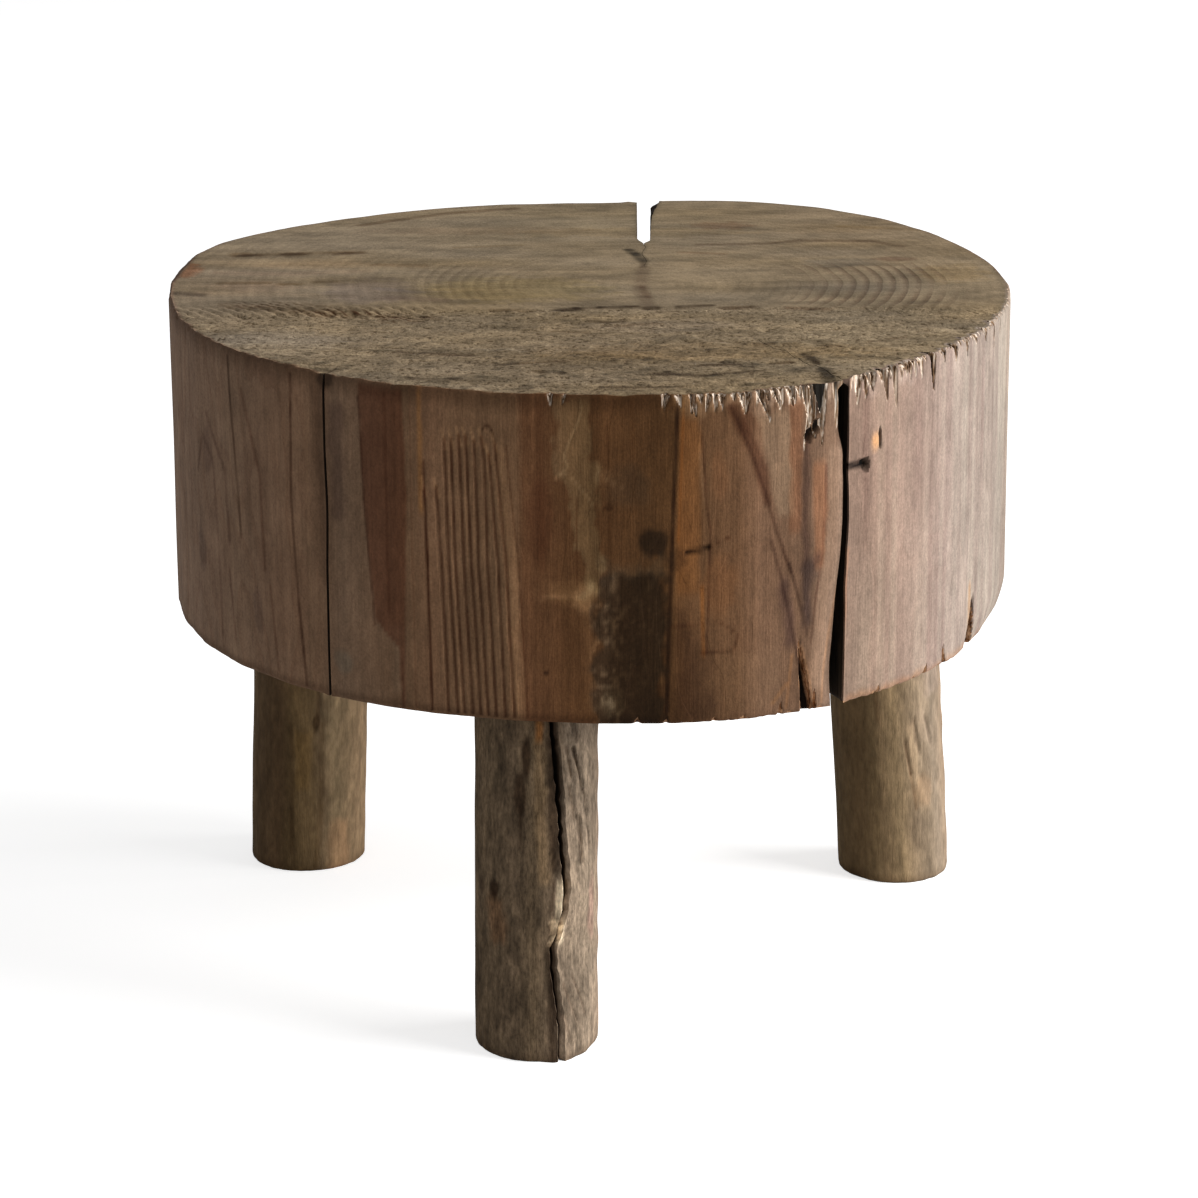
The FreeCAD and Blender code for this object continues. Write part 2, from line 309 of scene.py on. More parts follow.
def columns_along(corners, centre, step_at, wall_step):
    """Points along an outline, the way into the wood at each, which lie in a drying check, and their room.

    Room is how far a point may go into the wood before it could meet its neighbours past a sharp corner.
    """
    before = corners - np.roll(corners, 1, axis=0)
    after = np.roll(corners, -1, axis=0) - corners
    turn = np.degrees(np.arctan2(before[:, 0] * after[:, 1] - before[:, 1] * after[:, 0],
                                 np.sum(before * after, axis=1)))
    sharp = corners[turn > SHARP_TURN]
    points, inwards, in_check = [], [], []
    for start, end in zip(corners, np.roll(corners, -1, axis=0)):
        along = end - start
        length = np.hypot(*along)
        away = (start + end) / 2 - centre
        check = abs(np.dot(along, away)) / (length * np.hypot(*away)) > WALL_LEAN
        step = wall_step if check else step_at(start + along / 2)
        count = max(1, round(length / step))
        for share in np.arange(count) / count:
            points.append(start + along * share)
            inwards.append(np.array([-along[1], along[0]]) / length)
            in_check.append(check)
    inwards = np.array(inwards)
    inwards = inwards + np.roll(inwards, 1, axis=0)
    inwards /= np.maximum(np.linalg.norm(inwards, axis=1, keepdims=True), 0.3)
    points = np.array(points)
    in_check = np.array(in_check)
    free = ~(in_check | np.roll(in_check, 1) | np.roll(in_check, -1))
    for _ in range(ROUNDINGS):
        middle = (np.roll(points, 1, axis=0) + np.roll(points, -1, axis=0)) / 2
        points[free] += 0.5 * (middle - points)[free]
    room = np.full(len(points), 99.0)
    if len(sharp):
        room = 0.1 + 0.3 * np.min(np.linalg.norm(points[:, None, :] - sharp[None, :, :], axis=2), axis=1)
    return points, inwards, in_check, room


def slab_step(point):
    """How far apart the columns of the slab's side stand at that point."""
    return FINE_STEP if -92 < azimuths(point) < 90 else REAR_STEP


# Relief of the slab's faces, as distances into the wood

def front_share(flat):
    """0 on the smooth rear part of the top and 1 on the rough front part, past the saw's step."""
    step = -30.0 + 0.02 * flat[:, 0] + 3.0 * noise(flat, (45, 45, 9), 4)
    return ease(step - flat[:, 1], -1.5, 2.5)


def top_relief(points):
    """How far the top lies under its highest plane: the front part was sawn rough, a little deeper."""
    flat = at_height(points[:, :2], 0.0)
    front = front_share(flat)
    from_pith = np.hypot(*(flat[:, :2] - PITH).T) + 2.5 * noise(flat, (60, 60, 9), 9)
    smooth = 0.12 + 0.07 * noise(flat, (16, 7, 9), 1) + 0.05 * np.sin(from_pith * 2 * math.pi / RING_WIDTH)
    rough = 0.75 + 0.4 * noise(flat, (5.5, 2.6, 9), 2) + 0.25 * noise(flat, (15, 6, 9), 3)
    rough = rough + 0.3 * np.maximum(noise(flat, (3.2, 2.4, 9), 10) - 0.25, 0)
    from_step = np.abs(flat[:, 1] + 33 + 2 * noise(flat, (30, 30, 9), 14))
    teeth = ease(from_step, 9, 5) * ease(flat[:, 0], -45, -60)
    sawn = np.maximum(np.sin((flat[:, 0] + 0.9 * flat[:, 1]) * 2 * math.pi / 5.2), 0)
    depth = smooth + (rough - smooth) * front + 0.6 * teeth * sawn
    return np.maximum(depth, 0.02)


def far_from(arc, height, places, degree=DEGREE):
    """How far each point of a round side lies from a line through places of azimuth and height."""
    nearest = np.full(arc.shape, 1e6)
    for (turn, low), (next_turn, high) in zip(places, places[1:]):
        x, y = turn * degree, low
        along, up = next_turn * degree - x, high - low
        share = np.clip(((arc - x) * along + (height - y) * up) / (along ** 2 + up ** 2), 0, 1)
        nearest = np.minimum(nearest, np.hypot(arc - x - share * along, height - y - share * up))
    return nearest


def side_relief(points, in_check):
    """Hewing marks, grooves, pits and worn edges of the side, and the splintery walls of its checks."""
    arc = azimuths(points) * DEGREE
    height = points[:, 2]
    hewn = 0.18 + 0.18 * noise(points, (20, 20, 38), 5)
    grain = 0.1 + 0.1 * noise(points, (2.4, 2.4, 60), 6)
    wavy = arc + 0.25 * noise(points, (9, 9, 20), 15)
    cut = np.zeros(len(points))
    for places in FURROWS:
        cut = np.maximum(cut, FURROW_DEPTH * ease(far_from(wavy, height, places), FURROW_WIDTH, 0.2))
    for start, end, half, depth in PITS:
        cut = np.maximum(cut, depth * ease(far_from(arc, height, [start, end]), half * 1.2, half * 0.6))
    split = 0.36 + 0.22 * noise(points, (5, 5, 30), 7) + 0.14 * noise(points, (1.8, 1.8, 12), 8)
    relief = np.where(in_check, split, hewn + grain + cut)
    depth, tall = EDGE_ROUNDING
    to_edge = np.minimum(TOP - height, height - UNDERSIDE)
    relief += depth * (1 - np.clip(to_edge / tall, 0, 1)) ** 2
    depth, tall = WORN_EDGE
    worn = ease(azimuths(points), *WORN_START) * ease(azimuths(points), *WORN_END)
    relief += depth * (worn * np.clip(1 - (height - UNDERSIDE) / tall, 0, 1) ** 1.5)
    return relief


def wane_depth(points):
    """How far the wane's sloping flat cuts the side back."""
    away = azimuths(points) - WANE_AZIMUTH
    reach = np.mean(np.linalg.norm(points[np.abs(away) < 1.5, :2] - LOG_CENTRE, axis=1))
    beyond = np.dot(points[:, :2] - LOG_CENTRE, outward(WANE_AZIMUTH)) - reach + WANE_WIDTH
    allowed = (TOP - points[:, 2]) / math.tan(math.radians(WANE_SLOPE))
    return np.where(np.abs(away) < 40, np.maximum(beyond - allowed, 0), 0)


def along_check(points, azimuth):
    """The way across a check towards +azimuth, and how far that way and in from its mouth the points lie."""
    near = np.abs(azimuths(points) - azimuth) < 5
    reach = np.max(np.linalg.norm(points[near, :2] - LOG_CENTRE, axis=1))
    mouth = LOG_CENTRE + reach * outward(azimuth)
    inward = (PITH - mouth) / np.linalg.norm(PITH - mouth)
    across = np.array([inward[1], -inward[0]])
    away = points[:, :2] - mouth
    return across, away @ across, away @ inward


def rear_walls(points, in_check):
    """X of the points, with the rear check's walls where they show and the chip broken off its lip."""
    x = points[:, 0].copy()
    _, off, depth = along_check(points, REAR_CHECK)
    share = in_check * (np.abs(off) < 8) * ease(depth, REAR_OPEN + 2, REAR_OPEN - 4)
    width, length = REAR_CHIP
    chipped = width * np.clip(1 - depth / length, 0, 1) ** 1.6
    chipped = chipped * ease((TOP - points[:, 2]) / (2.2 + 0.25 * depth), 1, 0.1)
    chipped = chipped + 0.3 * noise(points, (4, 4, 9), 17)
    left = np.interp(depth, [0, REAR_OPEN], REAR_LEFT) + 0.15 * noise(points, (9, 9, 9), 19)
    right = np.interp(depth, [0, REAR_OPEN], REAR_RIGHT) + chipped
    x += (np.where(off > 0, left, right) - points[:, 0]) * share
    lip = ~in_check & (np.abs(off + 4) < 4) & (depth < 6) & (points[:, 0] < REAR_LIP)
    x[lip] = np.maximum(points[lip, 0], right[lip] + 0.2)
    return x


def left_slide(points, at_top):
    """The way across the left check, and how far its walls wander that way under the top."""
    across, off, depth = along_check(points, LEFT_CHECK)
    share = ease(np.abs(off), 8, 2) * (np.abs(depth - 25) < 30)
    slide = LEFT_WANDER * noise(points * [0, 0, 1], (1, 1, 24), 20) * share
    return across, slide * (1 - at_top)


def front_slide(points, at_edge):
    """The way across the front check, and how far the walls of its mouth stray that way."""
    across, off, depth = along_check(points, FRONT_CHECK)
    share = ease(np.abs(off), 14, 3) * ease(depth, MOUTH_REACH, 5) * (depth < 60)
    slide = np.where(off < 0, np.interp(points[:, 2], MOUTH_HEIGHTS, MOUTH_LEFT),
                     np.interp(points[:, 2], MOUTH_HEIGHTS, MOUTH_RIGHT))
    slide = slide + 0.4 * noise(points, (9, 9, 8), 18) * (np.abs(off) < 6) * (1 - at_edge)
    return across, slide * share


def stray_checks(points, in_check):
    """The points with the checks' walls moved to where they show, and closed up on the top where they end."""
    moved = points.copy()
    moved[:, 0] = rear_walls(points, in_check)
    at_top = ease(points[:, 2], TOP - 7, TOP - 1)
    at_edge = ease(points[:, 2], TOP - 3.2, TOP - 0.6)
    for azimuth, length, level in ((FRONT_CHECK, FRONT_OPEN, at_edge), (REAR_CHECK, REAR_OPEN, at_top),
                                   (LEFT_CHECK, LEFT_OPEN, np.maximum(at_top, LEFT_CLOSED))):
        across, off, depth = along_check(moved, azimuth)
        near = in_check & (np.abs(off) < 6) & (depth < 130)
        closed = CLOSED * near * level * ease(depth, length, length + 5)
        bent = 0.7 * np.sin(depth * 0.25) * ease(depth, length + 5, length + 12) * near * at_top
        moved[:, :2] -= across * (off * closed + bent)[:, None]
    for across, slide in (left_slide(points, at_top), front_slide(points, at_edge)):
        moved[:, :2] += across * slide[:, None]
    return moved


def small_tears(seed, first, last, widths, lengths, bites):
    """Many small notches along a stretch of rim, like the tears that a saw leaves where it comes out."""
    random = np.random.default_rng(seed)
    tears = []
    azimuth = first
    while azimuth < last:
        width = random.uniform(*widths)
        length, bite = random.uniform(*lengths), random.uniform(*bites)
        tears.append((azimuth, width, length, bite, random.uniform(-0.15, 0.25)))
        azimuth += width * random.uniform(0.75, 1.7) / DEGREE
    return tears


def torn_depth(arc, drop, tears):
    """How deep the notches bite at the points that far along the rim and from its edge."""
    deepest = np.zeros(arc.shape)
    for azimuth, width, length, bite, lean in tears:
        left = np.clip(1 - drop / length, 0, 1)
        half = width / 2 * left ** 0.8 + 1e-6
        off = np.abs(arc - azimuth * DEGREE - lean * drop)
        deepest = np.maximum(deepest, bite * left ** 0.5 * np.clip(1.25 * (1 - off / half), 0, 1))
    return deepest


def notch_depth(points):
    """How deep the notches along both edges of the slab's side bite at its points."""
    arc = azimuths(points) * DEGREE
    fringe = [tear for stretch in FRINGES for tear in small_tears(*stretch)]
    at_top = torn_depth(arc, TOP - points[:, 2], TOP_TEARS + fringe)
    return np.maximum(at_top, torn_depth(arc, points[:, 2] - UNDERSIDE, LOW_TEARS + small_tears(*LOW_NICKS)))


# Meshes

def make_object(name, points, faces, materials, face_materials, attributes, sharp=42):
    """A smooth-shaded mesh object from points in millimetres, which rides on the stool."""
    mesh = bpy.data.meshes.new(name)
    mesh.from_pydata((np.asarray(points) * MM).tolist(), [], faces)
    for material in materials:
        mesh.materials.append(material)
    mesh.polygons.foreach_set("material_index", np.asarray(face_materials, np.int32))
    mesh.polygons.foreach_set("use_smooth", np.ones(len(mesh.polygons), bool))
    mesh.set_sharp_from_angle(angle=math.radians(sharp))
    for key, values in attributes.items():
        if values.ndim == 2:
            layer = mesh.attributes.new(key, "FLOAT_COLOR", "POINT")
            layer.data.foreach_set("color", np.column_stack([values, np.ones(len(values))]).ravel())
        else:
            layer = mesh.attributes.new(key, "FLOAT", "POINT")
            layer.data.foreach_set("value", values)
    mesh.update()
    piece = bpy.data.objects.new(name, mesh)
    bpy.context.scene.collection.objects.link(piece)
    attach(piece, "root")
    return piece


def inside(points, outline):
    """Which points lie inside the closed outline."""
    within = np.zeros(len(points), bool)
    for (x0, y0), (x1, y1) in zip(outline, np.roll(outline, -1, axis=0)):
        crosses = (y0 > points[:, 1]) != (y1 > points[:, 1])
        if crosses.any():
            at = (x1 - x0) * (points[:, 1] - y0) / (y1 - y0 + 1e-12) + x0
            within ^= crosses & (points[:, 0] < at)
    return within


def distance_to(points, targets):
    """Distance from each point to the nearest of the targets, in the plane."""
    tree = KDTree(len(targets))
    for number, (x, y) in enumerate(targets):
        tree.insert((x, y, 0), number)
    tree.balance()
    return np.array([tree.find((x, y, 0))[2] for x, y in points[:, :2]])


def fill(outline, holes, step, seed):
    """Inner points about a step apart, and the triangles that fill an outline around its holes.

    The triangles count the outline's points first, then those of each hole, then the inner points.
    """
    low = outline.min(axis=0)
    high = outline.max(axis=0)
    grid = []
    for number, y in enumerate(np.arange(low[1], high[1], step * TRIANGLE_HEIGHT)):
        xs = np.arange(low[0] + (number % 2) * step / 2, high[0], step)
        grid.append(np.column_stack([xs, np.full(len(xs), y), np.zeros(len(xs))]))
    grid = np.concatenate(grid)
    cells = np.round(grid * 7)
    grid[:, 0] += JITTER * step * lattice(cells, seed)
    grid[:, 1] += JITTER * step * lattice(cells, seed + 1)
    grid = grid[:, :2]
    rims = np.concatenate([outline] + holes)
    keep = inside(grid, outline)
    for hole in holes:
        keep &= ~inside(grid, hole)
    grid = grid[keep]
    grid = grid[distance_to(grid, rims) > step * RIM_ROOM]
    points = np.concatenate([rims, grid])
    edges = []
    start = len(outline)
    for hole in holes:
        edges += [(start + n, start + (n + 1) % len(hole)) for n in range(len(hole))]
        start += len(hole)
    made = delaunay_2d_cdt([Vector(p) for p in points], edges, [list(range(len(outline)))], 1, 1e-6)
    source = [origin[0] for origin in made[3]]
    faces = np.array([[source[v] for v in face] for face in made[2]])
    middles = points[faces].mean(axis=1)
    keep = np.ones(len(faces), bool)
    for hole in holes:
        keep &= ~inside(middles, hole)
    return grid, faces[keep]


def padded(values, total):
    """The values, with zeros after them up to that total."""
    return np.concatenate([values, np.zeros(total - len(values))])


def tube_faces(count, rows):
    """Faces between the rows of points of a closed ring of columns, one column after the other."""
    column, row = np.meshgrid(np.arange(count), np.arange(rows - 1), indexing="ij")
    here = column * rows + row
    beside = (column + 1) % count * rows + row
    return np.stack([here, beside, beside + 1, here + 1], axis=-1).reshape(-1, 4).tolist()


def leg_axis(name):
    """A leg's foot centre and how far its axis moves sideways for each millimetre of height."""
    foot = next(mount for mount in frame["record"]["mounts"] if mount["name"] == "foot_" + name)
    foot = np.array(foot["pos_m"][:2]) / MM
    low, high = (np.array(corner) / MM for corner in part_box("fox_wedge_" + name))
    middle = (low + high) / 2
    return foot, (middle[:2] - foot) / middle[2]


def mortise_lining(name):
    """Points and faces of a leg's blind mortise, and the ring of points where it opens."""
    foot, lean = leg_axis(name)
    mesh = packed_mesh("seat_slab")

    def belongs(vertex):
        x, y, z = np.array(vertex.co) / MM
        return np.hypot(*(np.array([x, y]) - foot - lean * z)) < MORTISE_ROOM and z < MORTISE_TOP

    lining = [face for face in mesh.faces if all(belongs(v) for v in face.verts)]
    number = {}
    points = []
    for face in lining:
        for vertex in face.verts:
            if vertex not in number:
                number[vertex] = len(points)
                points.append(np.array(vertex.co) / MM)
    faces = [[number[v] for v in face.verts] for face in lining]
    points = np.array(points)
    mesh.free()
    rim = np.where(points[:, 2] < UNDERSIDE + 0.01)[0]
    away = points[rim, :2] - points[rim, :2].mean(axis=0)
    rim = rim[np.argsort(np.arctan2(away[:, 1], away[:, 0]))]
    return points, faces, rim


def slab_side():
    """Columns of points round the slab's side, which lie in a check, and the points' bites and colours."""
    outline = section("seat_slab", SLICE_AT)
    columns, inwards, in_check, room = columns_along(outline, LOG_CENTRE, slab_step, WALL_STEP)
    low = UNDERSIDE + np.array(EDGE_ROWS)
    high = TOP - np.array(EDGE_ROWS[::-1])
    heights = np.concatenate([low, np.arange(low[-1] + ROW_STEP, high[0] - ROW_STEP / 2, ROW_STEP), high])
    count, rows = len(columns), len(heights)
    points = np.zeros((count, rows, 3))
    points[:, :, :2] = columns[:, None, :]
    points[:, :, 2] = heights
    flat = points.reshape(-1, 3)
    checks = np.repeat(in_check, rows)
    bite = notch_depth(flat)
    bite = np.where(checks, CHECK_BITE * bite, bite)
    into = np.maximum(side_relief(flat, checks) + bite, wane_depth(flat))
    into = np.minimum(into, np.repeat(room, rows))
    points[:, :, :2] += inwards[:, None, :] * into.reshape(count, rows)[:, :, None]
    colours = paint_side(flat)
    points = stray_checks(flat, checks).reshape(count, rows, 3)
    lowered = top_relief(points[:, -1, :])
    points[:, :, 2] -= lowered[:, None] * ease(heights, TOP - LEVELLED, TOP)[None, :]
    return points, in_check, bite, colours


def build_seat(materials):
    """The slab: its side, its top, and its underside around the blind mortises."""
    points, in_check, bite, side_colours = slab_side()
    count, rows = points.shape[:2]
    side = points.reshape(-1, 3)
    faces = tube_faces(count, rows)
    kinds = [np.repeat(np.where(in_check & np.roll(in_check, -1), WALL_WOOD, SIDE_WOOD), rows - 1)]

    inner, top_faces = fill(points[:, -1, :2], [], TOP_STEP, 11)
    top = at_height(inner, TOP)
    top[:, 2] -= top_relief(top)
    upper = np.concatenate([np.arange(count) * rows + rows - 1, len(side) + np.arange(len(top))])
    faces += upper[top_faces].tolist()
    kinds.append(np.full(len(top_faces), TOP_WOOD))

    linings = [mortise_lining(name) for name in LEG_LOOKS]
    holes = [lining[rim, :2] for lining, _, rim in linings]
    inner, under_faces = fill(points[:, 0, :2], holes, UNDER_STEP, 13)
    layers = [side, top]
    lower = [np.arange(count) * rows]
    start = len(side) + len(top)
    for lining, lining_faces, rim in linings:
        lower.append(start + rim)
        faces += [[start + v for v in face] for face in lining_faces]
        kinds.append(np.full(len(lining_faces), UNDER_WOOD))
        layers.append(lining)
        start += len(lining)
    lower.append(start + np.arange(len(inner)))
    faces += np.concatenate(lower)[under_faces[:, ::-1]].tolist()
    kinds.append(np.full(len(under_faces), UNDER_WOOD))
    layers.append(at_height(inner, UNDERSIDE))
    everything = np.concatenate(layers)

    total = len(everything)
    colours = np.ones((total, 3))
    colours[:len(side)] = side_colours
    rings = np.zeros(total)
    front = np.zeros(total)
    from_rim = np.concatenate([np.zeros(count), distance_to(top, points[:, -1, :2])])
    top_colours, rings[upper], front[upper] = paint_top(everything[upper] * [1, 1, 0], from_rim)
    topmost = np.concatenate([in_check, np.ones(len(top), bool)])
    colours[upper[topmost]] = top_colours[topmost]
    torn = padded(np.clip(bite / TORN_BITE, 0, 1), total)
    # How deep each notch bites, which the side's material turns into painted shade.
    deep = padded(np.clip(bite / DEEP_BITE, 0, 1), total)
    attributes = {"torn": torn, "deep": deep, "tint": colours, "rings": rings, "front": front}
    seat = make_object("seat", everything, faces, materials, np.concatenate(kinds), attributes)
    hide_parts("seat_slab")


def foot_rounding(height):
    """How far the worn edge of a foot is rounded off."""
    depth, tall = FOOT_ROUNDING
    return depth * (1 - np.clip(height / tall, 0, 1)) ** 2


def pole_relief(local, height, in_check, seed, wavy, cracks, tufts):
    """Lumps, fibres, waves, cracks and tufts of a peeled pole, as distances into the wood."""
    points = np.column_stack([local, height])
    lumps = 0.2 + 0.2 * noise(points, (16, 16, 34), seed)
    slant = np.column_stack([local[:, 0] + 0.12 * height, local[:, 1], height])
    fibres = 0.16 + 0.16 * noise(slant, (2.2, 2.2, 20), seed + 1)
    angle = azimuth_of(local)
    weathered = wavy * ease(angle, 15, 40) * ease(angle, 120, 95)
    waves = local[:, 0] * 0.9 + 0.22 * height + 3.0 * noise(points, (14, 14, 26), seed + 2)
    waves = weathered * (0.16 + 0.16 * np.sin(waves * 2 * math.pi / 4.6))
    cut = np.zeros(len(points))
    degree = degree_on(local)
    for places, half, factor in cracks:
        near = ease(far_from(angle * degree, height, places, degree), half * 1.3, 0.1)
        cut = np.maximum(cut, 1.3 * (1 - factor[0]) * near)
    for (turn, at), (wide, tall), high in tufts:
        near = ease(np.hypot((angle - turn) / wide, (height - at) / tall), 1.1, 0.4)
        cut -= high * near * (0.8 + 0.8 * noise(points, (1.7, 1.7, 2.2), seed + 4))
    return np.where(in_check, 0.1, lumps + fibres + waves + foot_rounding(height) + cut)


def check_stray(local, height):
    """How far the leg's drying check strays sideways, for the points near it."""
    away = np.abs(azimuth_of(local) - LEG_CHECK_AZIMUTH)
    moved = np.interp(height, *zip(*LEG_CHECK_STRAY))
    ragged = 0.55 * noise(np.stack([local[..., 0], local[..., 1], height], axis=-1), (2.5, 9, 2.6), 57)
    return moved * ease(away, 48, 8) + ragged * ease(away, 12, 5)


def build_leg(name, look, material):
    """A leg: its pole, closed at both ends, and its tenon."""
    foot, lean = leg_axis(name)
    half_way = UNDERSIDE / 2
    outline = section("leg_" + name, half_way) - foot - lean * half_way
    columns, inwards, in_check, room = columns_along(outline, np.zeros(2), lambda point: LEG_STEP,
                                                     LEG_WALL_STEP)
    heights = np.concatenate([LEG_EDGE_ROWS, np.arange(4.0, UNDERSIDE - 1.0, LEG_ROW), [UNDERSIDE]])
    count, rows = len(columns), len(heights)
    local = np.repeat(columns[:, None, :], rows, axis=1)
    height = np.repeat(heights[None, :], count, axis=0)
    checks = np.repeat(in_check, rows)
    cracks = [line for line in LEG_LINES[name] if line[2][0] < 0.7]
    into = pole_relief(local.reshape(-1, 2), height.reshape(-1), checks, look["seed"], look["wavy"], cracks,
                       LEG_TUFTS[name])
    into = np.minimum(into, np.repeat(room, rows)).reshape(count, rows)
    from_axis = np.hypot(*columns.T)
    radius = from_axis.max()
    half_gap = np.where(in_check, LEG_CHECK_MOUTH / 2 * (1 - (radius - from_axis) / LEG_CHECK_DEPTH), 0)
    closed = np.interp(height, *zip(*LEG_CHECK_CLOSED))
    into = np.where(in_check[:, None], -np.maximum(half_gap, 0)[:, None] * closed, into)
    local = local + inwards[:, None, :] * into[:, :, None]
    worn = in_check[:, None] * (LEG_CHECK_SUNK + foot_rounding(height)) / radius
    local = local * (1 - worn)[:, :, None]
    if in_check.any():
        local[:, :, 0] += check_stray(local, height)
    points = np.zeros((count, rows, 3))
    points[:, :, :2] = local + foot + lean * height[:, :, None]
    points[:, :, 2] = height
    flat = points.reshape(-1, 3)
    faces = tube_faces(count, rows)
    layers = [flat]
    start = len(flat)
    for row, z, turn in ((0, 0.0, -1), (rows - 1, UNDERSIDE, 1)):
        inner, cap = fill(points[:, row, :2], [], LEG_CAP_STEP, 31)
        index = np.concatenate([np.arange(count) * rows + row, start + np.arange(len(inner))])
        faces += index[cap[:, ::turn]].tolist()
        layers.append(at_height(inner, z))
        start += len(inner)
    everything = np.concatenate(layers)
    about_axis = everything[:, :2] - foot - lean * everything[:, 2:3]
    # How far into the check each point lies, from which the material paints the shade inside it.
    sunk = np.clip((radius - np.hypot(*about_axis[:len(flat)].T)) / LEG_DARK_DEPTH, 0, 1)
    tint = paint_leg(name, about_axis, everything[:, 2])
    attributes = {"deep": padded(checks * sunk, len(everything)), "tint": tint}
    leg = make_object("pole_" + name, everything, faces, [material], np.zeros(len(faces)), attributes)
    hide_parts("leg_" + name)
    build_tenon(name, material)


def build_tenon(name, material):
    """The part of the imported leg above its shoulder: the tenon, with its kerf."""
    mesh = packed_mesh("leg_" + name)
    everything = mesh.verts[:] + mesh.edges[:] + mesh.faces[:]
    shoulder = (0, 0, (UNDERSIDE + OVER_SHOULDER) * MM)
    bmesh.ops.bisect_plane(mesh, geom=everything, plane_co=shoulder, plane_no=(0, 0, 1), clear_inner=True)
    bmesh.ops.holes_fill(mesh, edges=[edge for edge in mesh.edges if edge.is_boundary])
    points = [np.array(v.co) / MM for v in mesh.verts]
    mesh.verts.index_update()
    faces = [[v.index for v in face.verts] for face in mesh.faces]
    mesh.free()
    attributes = {"deep": np.zeros(len(points)), "tint": np.tile(TENON_COLOUR, (len(points), 1))}
    kinds = np.zeros(len(faces))
    tenon = make_object("tenon_" + name, points, faces, [material], kinds, attributes, sharp=30)
    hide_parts("leg_" + name)


# Paint of the slab's side, worked out at the points of its mesh

# Bare colours round the side, by azimuth
SIDE_BANDS = [
    (-100, (0.22, 0.138, 0.086)), (-80, (0.286, 0.187, 0.128)), (-62, (0.281, 0.179, 0.118)),
    (-56, (0.297, 0.189, 0.121)), (-50, (0.264, 0.163, 0.103)), (-43, (0.264, 0.156, 0.094)),
    (-38, (0.242, 0.143, 0.084)), (-34, (0.22, 0.138, 0.086)), (-31.6, (0.237, 0.145, 0.088)),
    (-24, (0.209, 0.118, 0.064)), (-21, (0.226, 0.123, 0.067)), (-18, (0.202, 0.112, 0.06)),
    (-12, (0.207, 0.116, 0.061)), (-9.4, (0.204, 0.11, 0.056)), (-8.4, (0.153, 0.07, 0.032)),
    (-3, (0.131, 0.059, 0.024)), (1, (0.105, 0.047, 0.018)), (9.6, (0.093, 0.043, 0.016)),
    (10.4, (0.107, 0.05, 0.019)), (11.2, (0.128, 0.059, 0.023)), (14, (0.125, 0.062, 0.028)),
    (18, (0.144, 0.073, 0.036)), (21, (0.161, 0.088, 0.05)), (26, (0.142, 0.079, 0.046)),
    (30, (0.155, 0.093, 0.059)), (33.5, (0.211, 0.142, 0.104)), (38, (0.245, 0.169, 0.125)),
    (43, (0.268, 0.189, 0.145)), (55, (0.254, 0.196, 0.162)), (75, (0.237, 0.194, 0.159)),
    (100, (0.212, 0.136, 0.087)),
]
